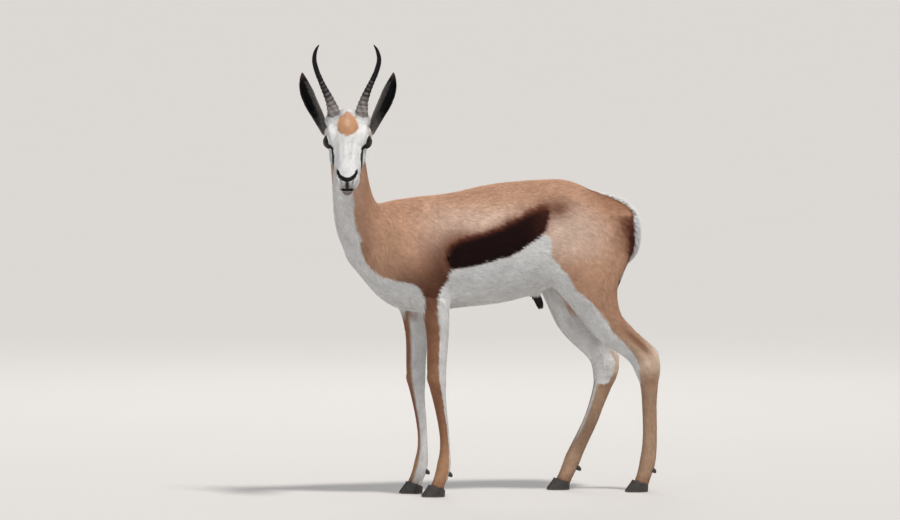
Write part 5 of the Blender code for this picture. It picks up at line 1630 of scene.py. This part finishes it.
def horn(word, step=0.75, m=56):
    t = np.array(HORNS[word], float)
    p = from_poll(t[:, 0], t[:, 1], t[:, 2])
    dist = along(p)
    s = np.linspace(0, dist[-1], int(dist[-1] / step))
    c, r = flowing(dist, p, s), smooth_steps(dist, t[:, 3], s)
    a = turn_round(m)
    rings, colours = [], []
    total = dist[-1]
    for q, t0, k, z in zip(c, tangents(c, s), r, s):
        l = V - V.dot(t0) * t0
        l /= np.linalg.norm(l)
        f = np.cross(t0, l)
        ahead = f @ AHEAD
        front = np.sin(a) * np.sign(ahead)
        # each ring swells slowly from below and breaks off above, strongest in front, and dips a little round the side
        z_here = z - 2.2 * (1 - front) * 0.5 + 0.5 * np.sin(3 * a + z * 0.03)
        swell = np.zeros(m)
        for i, at in enumerate(RING_AT):
            g = (z_here - at)
            height = 1.9 * (1 - 0.60 * i / len(RING_AT)) * (0.62 + 0.38 * (front + 1) / 2)
            swell += height * np.where(g < 0, np.exp(-(g / 4.6) ** 2), np.exp(-(g / 1.6) ** 2))
        lines = 0.16 * np.sin(26 * a + 1.2 * np.sin(z * 0.11)) * (1 - ramp(np.array([z / total]), 0.55, 0.8)[0])
        kk = k - 0.75 * (z < 150) * (1 - ramp(np.array([z]), 110, 150)[0]) + swell + lines
        end = 1.0 if z < total - 3 else math.sqrt(max(0.0, 1 - ((z - total + 3) / 3.2) ** 2))
        rings.append(q + (0.95 * kk * end * np.cos(a))[:, None] * l + (1.06 * kk * end * np.sin(a))[:, None] * f)
        base = np.tile(np.array([0.0045, 0.004, 0.005]), (m, 1))
        grey = (1 - ramp(np.full(m, z), 40, 76)) * (0.80 + 0.20 * np.sin(5 * a + z * 0.2))
        base = mixed(base, (0.29, 0.255, 0.235), grey * 0.95)
        valley = np.clip(1 - swell / 0.8, 0, 1) * ramp(np.full(m, z), 24, 34) * (1 - ramp(np.full(m, z), 92, 108))
        base = mixed(base, (0.040, 0.033, 0.030), 0.80 * valley * ramp(np.full(m, z), 28, 42))
        # painted highlights: pale glints on the fronts of the middle rings
        painted_glint = ramp(swell, 0.85, 1.15) * ramp(front, 0.70, 0.95) * ((z > 58) & (z < 112))
        base = mixed(base, (0.36, 0.34, 0.33), 0.45 * painted_glint * (0.6 + 0.4 * math.sin(z * 0.37)))
        colours.append(base)
    points, faces = loft(np.array(rings))
    obj = joined("horn_%s_ringed" % word, [(points, faces)])
    flat = np.concatenate([np.array(colours).reshape(-1, 3), np.tile([[0.1, 0.1, 0.1]], (max(0, len(points) - m * len(rings)), 1))])
    coloured(obj.data, flat[:len(points)])
    return obj


horns = {word: horn(word) for word in HORNS}


# ---------------------------------------------------------------- eyes
def eyeball(side, word, m=72, k=56):
    e, d, a_, b_ = eye_axes(side)
    turn = turn_round(m)
    rings, colours = [], []
    for angle in np.linspace(0.0015, math.pi - 0.0015, k) ** 1.15 / (math.pi - 0.0015) ** 0.15:
        arc = EYE_RADIUS * angle
        bulge = 0.9 * max(0.0, 1 - (arc / 11.5) ** 2) ** 1.3 if arc < 11.5 else 0.0
        r = EYE_RADIUS - 0.15 + bulge
        rings.append(e + r * (math.cos(angle) * d + math.sin(angle) * (np.cos(turn)[:, None] * a_ + np.sin(turn)[:, None] * b_)))
        x, y = arc * np.cos(turn), arc * np.sin(turn)
        iris = np.tile(np.array([0.016, 0.0065, 0.0032]), (m, 1)) * (0.75 + 0.35 * np.sin(23 * turn)[:, None] * 0.4 + 0.15 * np.sin(57 * turn)[:, None])
        pupil = 1 - ramp(np.hypot(x / 6.4, y / 3.6), 0.92, 1.05)
        c = mixed(iris, (0.0025, 0.002, 0.002), pupil)
        c = mixed(c, (0.006, 0.003, 0.002), ramp(np.full(m, arc), 9.4, 10.6))
        c = mixed(c, (0.045, 0.026, 0.018), 0.6 * ramp(np.full(m, arc), 12.2, 14.0))
        colours.append(c)
    points, faces = loft(np.array(rings))
    obj = joined("eyeball_%s" % word, [(points, faces)])
    flat = np.concatenate([np.array(colours).reshape(-1, 3), np.tile([[0.01, 0.005, 0.004]], (max(0, len(points) - m * k), 1))])
    coloured(obj.data, flat[:len(points)])
    return obj


eyes = {word: eyeball(side, word) for word, side in (("right", -1), ("left", 1))}

# ---------------------------------------------------------------- claws
# height, toe set back, heel set forward, half width
CLAW = [(0, 0, 0, 9.6), (5, 1.5, -0.5, 9.8), (14, 8, -1.0, 9.6), (26, 17, -1.5, 9.2), (44, 26, 0, 8.6)]


def claw(foot, side, m=64):
    toe, heel, y = FEET[foot]
    a = turn_round(m)
    table = np.array(CLAW, float)
    rings = []
    for z in np.concatenate([[0.0, 0.0, 0.35, 1.0], np.arange(2.0, 45.0, 0.9)]):
        back, forward, half = smooth_steps(table[:, 0], table[:, 1:], np.array([z]))[0]
        x0, x1 = toe + back, heel - forward
        tuck = 1.1 if z < 0.1 else 0.55 if z < 0.5 else 0.0
        if z == 0.0 and not rings:
            tuck = 2.6
        x = (x0 + x1) / 2 + (x1 - x0 + 2 * -tuck * np.sign(x0 - x1) * -1) / 2 * np.cos(a)
        share = np.clip((x - x0) / (x1 - x0), 0, 1)
        width = (half - tuck) * np.minimum(1, 0.42 + 0.95 * share)
        off = np.clip(np.sin(a) * 1.25, -1, 1) * width
        off = np.sin(a) * width * (1 + 0.18 * np.cos(a * 2 + math.pi) * 0.5)
        pinch = (half - width) * 0.55
        ridge = 0.14 * math.sin(z * 1.9) + 0.07 * math.sin(z * 4.3 + 1)
        height = z * np.ones(m) if z > 0.5 or len(rings) != 0 else np.full(m, 0.9)
        rings.append(np.stack([x + ridge * np.cos(a) * np.sign(x1 - x0), y + side * (CLEFT + half - pinch + off + ridge * np.sin(a)), height], 1))
    return loft(np.array(rings))


def cut_by(obj, point, way):
    """keeps the side away from the way, and closes it"""
    bm = bmesh.new()
    bm.from_mesh(obj.data)
    bmesh.ops.bisect_plane(bm, geom=list(bm.verts) + list(bm.edges) + list(bm.faces), plane_co=Vector((point - ORIGIN) * MM), plane_no=Vector(way), clear_outer=True)
    bmesh.ops.holes_fill(bm, edges=[e for e in bm.edges if e.is_boundary], sides=0)
    bmesh.ops.triangulate(bm, faces=[f for f in bm.faces if len(f.verts) > 4])
    bmesh.ops.recalc_face_normals(bm, faces=bm.faces)
    bm.to_mesh(obj.data)
    bm.free()


claws = {}
for foot in FEET:
    point, down = coronet(foot)
    for side, word in ((-1, "outer" if foot.endswith("left") else "inner"), (1, "inner" if foot.endswith("left") else "outer")):
        obj = joined("claw_%s_%s" % (foot, word), [claw(foot, side)])
        cut_by(obj, point - down * 0.6, -down)
        claws["hoof_%s_%s" % (foot, word)] = obj

dew = []
for foot in FEET:
    low = np.array(JOINTS[foot][-2], float)
    for side in (-1, 1):
        way = unit(np.array([0.62, side * 0.18, -0.76]))
        l = unit(np.cross(way, [0, 1, 0]))
        dew.append(ellipsoid(low + [14.0, side * 8.5, -23.5], (5.4, 5.6, 9.2), [l, np.cross(way, l), way], n=18, m=26))
dewclaws = joined("dewclaws", dew)
for obj in list(claws.values()) + [dewclaws]:
    q = places(obj.data)
    shade = np.array([0.034, 0.028, 0.024]) * (1 + 0.35 * cloud_2(q, 5.0))[:, None]
    shade = mixed(shade, (0.16, 0.125, 0.095), 0.55 * ramp(-q[:, 2], -5, 0))
    coloured(obj.data, np.clip(shade, 0.004, 0.5))


# ---------------------------------------------------------------- materials
def material(name, rough, rough_noise, noise_scale, bump, bump_scale, shift=0.12, sheen=0.0, coat=0.0, specular=0.5, stretch=None, plain=None):
    m = bpy.data.materials.new(name)
    m.use_nodes = True
    tree = m.node_tree
    shader = next(x for x in tree.nodes if x.type == "BSDF_PRINCIPLED")
    place = tree.nodes.new("ShaderNodeTexCoord")
    mapping = tree.nodes.new("ShaderNodeMapping")
    mapping.inputs["Scale"].default_value = stretch or (1, 1, 1)
    tree.links.new(place.outputs["Object"], mapping.inputs["Vector"])
    noise = tree.nodes.new("ShaderNodeTexNoise")
    noise.inputs["Scale"].default_value = noise_scale
    noise.inputs["Detail"].default_value = 4.0
    tree.links.new(mapping.outputs["Vector"], noise.inputs["Vector"])
    tone = tree.nodes.new("ShaderNodeMapRange")
    tone.inputs["To Min"].default_value, tone.inputs["To Max"].default_value = 1 - shift, 1 + shift
    tree.links.new(noise.outputs["Fac"], tone.inputs["Value"])
    if plain is None:
        colour = tree.nodes.new("ShaderNodeAttribute")
        colour.attribute_name = "coat"
        source = colour.outputs["Color"]
    else:
        colour = tree.nodes.new("ShaderNodeRGB")
        colour.outputs[0].default_value = (*plain, 1)
        source = colour.outputs[0]
    scaled = tree.nodes.new("ShaderNodeVectorMath")
    scaled.operation = "SCALE"
    tree.links.new(source, scaled.inputs[0])
    tree.links.new(tone.outputs["Result"], scaled.inputs["Scale"])
    tree.links.new(scaled.outputs["Vector"], shader.inputs["Base Color"])
    ends = tree.nodes.new("ShaderNodeMapRange")
    ends.inputs["To Min"].default_value, ends.inputs["To Max"].default_value = rough - rough_noise, rough + rough_noise
    tree.links.new(noise.outputs["Fac"], ends.inputs["Value"])
    tree.links.new(ends.outputs["Result"], shader.inputs["Roughness"])
    fine_noise = tree.nodes.new("ShaderNodeTexNoise")
    fine_noise.inputs["Scale"].default_value = bump_scale
    fine_noise.inputs["Detail"].default_value = 3.0
    tree.links.new(mapping.outputs["Vector"], fine_noise.inputs["Vector"])
    bumps = tree.nodes.new("ShaderNodeBump")
    bumps.inputs["Strength"].default_value = bump
    bumps.inputs["Distance"].default_value = 0.001
    tree.links.new(fine_noise.outputs["Fac"], bumps.inputs["Height"])
    tree.links.new(bumps.outputs["Normal"], shader.inputs["Normal"])
    shader.inputs["Sheen Weight"].default_value = sheen
    shader.inputs["Sheen Roughness"].default_value = 0.45
    shader.inputs["Coat Weight"].default_value = coat
    shader.inputs["Coat Roughness"].default_value = 0.04
    shader.inputs["Specular IOR Level"].default_value = specular
    return m


coat_material = material("springbok_coat", 0.62, 0.08, 40.0, 0.10, 700.0, shift=0.07, specular=0.09, stretch=(0.45, 1, 1))
skin_material = material("springbok_skin", 0.66, 0.08, 60.0, 0.55, 900.0, shift=0.10, specular=0.10, stretch=(0.35, 1, 1))
horn_material = material("springbok_horn", 0.40, 0.10, 120.0, 0.35, 900.0, shift=0.22, specular=0.18)
claw_material = material("springbok_claw", 0.42, 0.12, 160.0, 0.35, 600.0, shift=0.25, specular=0.5)
eye_material = material("springbok_eye", 0.07, 0.02, 200.0, 0.01, 300.0, shift=0.10, specular=0.30)
lash_material = material("springbok_lash", 0.45, 0.08, 300.0, 0.05, 900.0, shift=0.2, plain=(0.012, 0.010, 0.010))
floor_material = material("studio_floor", 0.85, 0.05, 1.2, 0.04, 40.0, shift=0.012, specular=0.15, plain=(0.62, 0.60, 0.575))


def dressed(obj, m, smooth=True):
    obj.data.materials.clear()
    obj.data.materials.append(m)
    if smooth:
        obj.data.polygons.foreach_set("use_smooth", [True] * len(obj.data.polygons))
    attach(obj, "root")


dressed(skin, skin_material)
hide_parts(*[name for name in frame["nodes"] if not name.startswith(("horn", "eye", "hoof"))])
for obj, slot in coat_pieces:
    dressed(obj, coat_material, smooth=False)
for word, obj in horns.items():
    dressed(obj, horn_material)
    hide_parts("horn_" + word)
for word, obj in eyes.items():
    dressed(obj, eye_material)
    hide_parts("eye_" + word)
for name, obj in claws.items():
    dressed(obj, claw_material)
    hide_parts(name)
dressed(dewclaws, claw_material)
dressed(lash_obj, lash_material)

# ---------------------------------------------------------------- floor, light, camera
m = 160
ring = np.stack([400 * np.cos(turn_round(m)), 400 * np.sin(turn_round(m)), np.zeros(m)], 1)
inner_ring = ring * 0.01
mesh = bpy.data.meshes.new("floor")
mesh.from_pydata(np.concatenate([[[0, 0, 0]], inner_ring, ring]).tolist(), [],
                 [(0, i + 1, (i + 1) % m + 1) for i in range(m)] + [(i + 1, m + i + 1, m + (i + 1) % m + 1, (i + 1) % m + 1) for i in range(m)])
mesh.materials.append(floor_material)
floor = bpy.data.objects.new("floor", mesh)
floor.location.z = -0.0002
scene.collection.objects.link(floor)


def area_light(name, place, aim, size, power, colour):
    light = bpy.data.lights.new(name, "AREA")
    light.shape, light.size, light.energy, light.color = "DISK", size, power, colour
    obj = bpy.data.objects.new(name, light)
    obj.location = place
    obj.rotation_mode = "QUATERNION"
    obj.rotation_quaternion = (Vector(aim) - Vector(place)).to_track_quat("-Z", "Y")
    scene.collection.objects.link(obj)


sun = bpy.data.lights.new("key", "SUN")
sun.energy, sun.angle, sun.color = 2.35, math.radians(9.0), (1.0, 0.965, 0.92)
key = bpy.data.objects.new("key", sun)
key.rotation_mode = "QUATERNION"
key.rotation_quaternion = Vector((-0.16, 0.40, -0.90)).to_track_quat("-Z", "Y")
scene.collection.objects.link(key)
area_light("fill", (-3.6, -4.2, 1.9), (-0.2, 0.0, 0.6), 2.2, 26, (0.93, 0.96, 1.0))
area_light("rim", (0.8, 4.2, 3.6), (0.0, 0.0, 0.7), 2.5, 40, (1.0, 0.98, 0.95))
world = bpy.data.worlds.new("studio")
scene.world = world
world.use_nodes = True
background = next(x for x in world.node_tree.nodes if x.type == "BACKGROUND")
background.inputs["Color"].default_value = (0.80, 0.82, 0.86, 1)
background.inputs["Strength"].default_value = 0.62

lens = bpy.data.cameras.new("camera")
lens.sensor_width, lens.lens, lens.clip_start, lens.clip_end = 36.0, 253.97, 0.1, 1500.0
camera = bpy.data.objects.new("camera", lens)
camera.location = (-4.4622, -15.2809, 1.37)
camera.rotation_euler = (math.radians(90 - 2.792), 0.0, math.radians(-16.0))
scene.collection.objects.link(camera)
scene.camera = camera
scene.view_settings.view_transform = "Standard"

total = sum(len(o.data.polygons) for o in [skin, lash_obj, dewclaws] + [o for o, _ in coat_pieces] + list(horns.values()) + list(eyes.values()) + list(claws.values()))
print("faces", total, "coat", sum(len(o.data.polygons) for o, _ in coat_pieces))
bpy.context.view_layer.update()
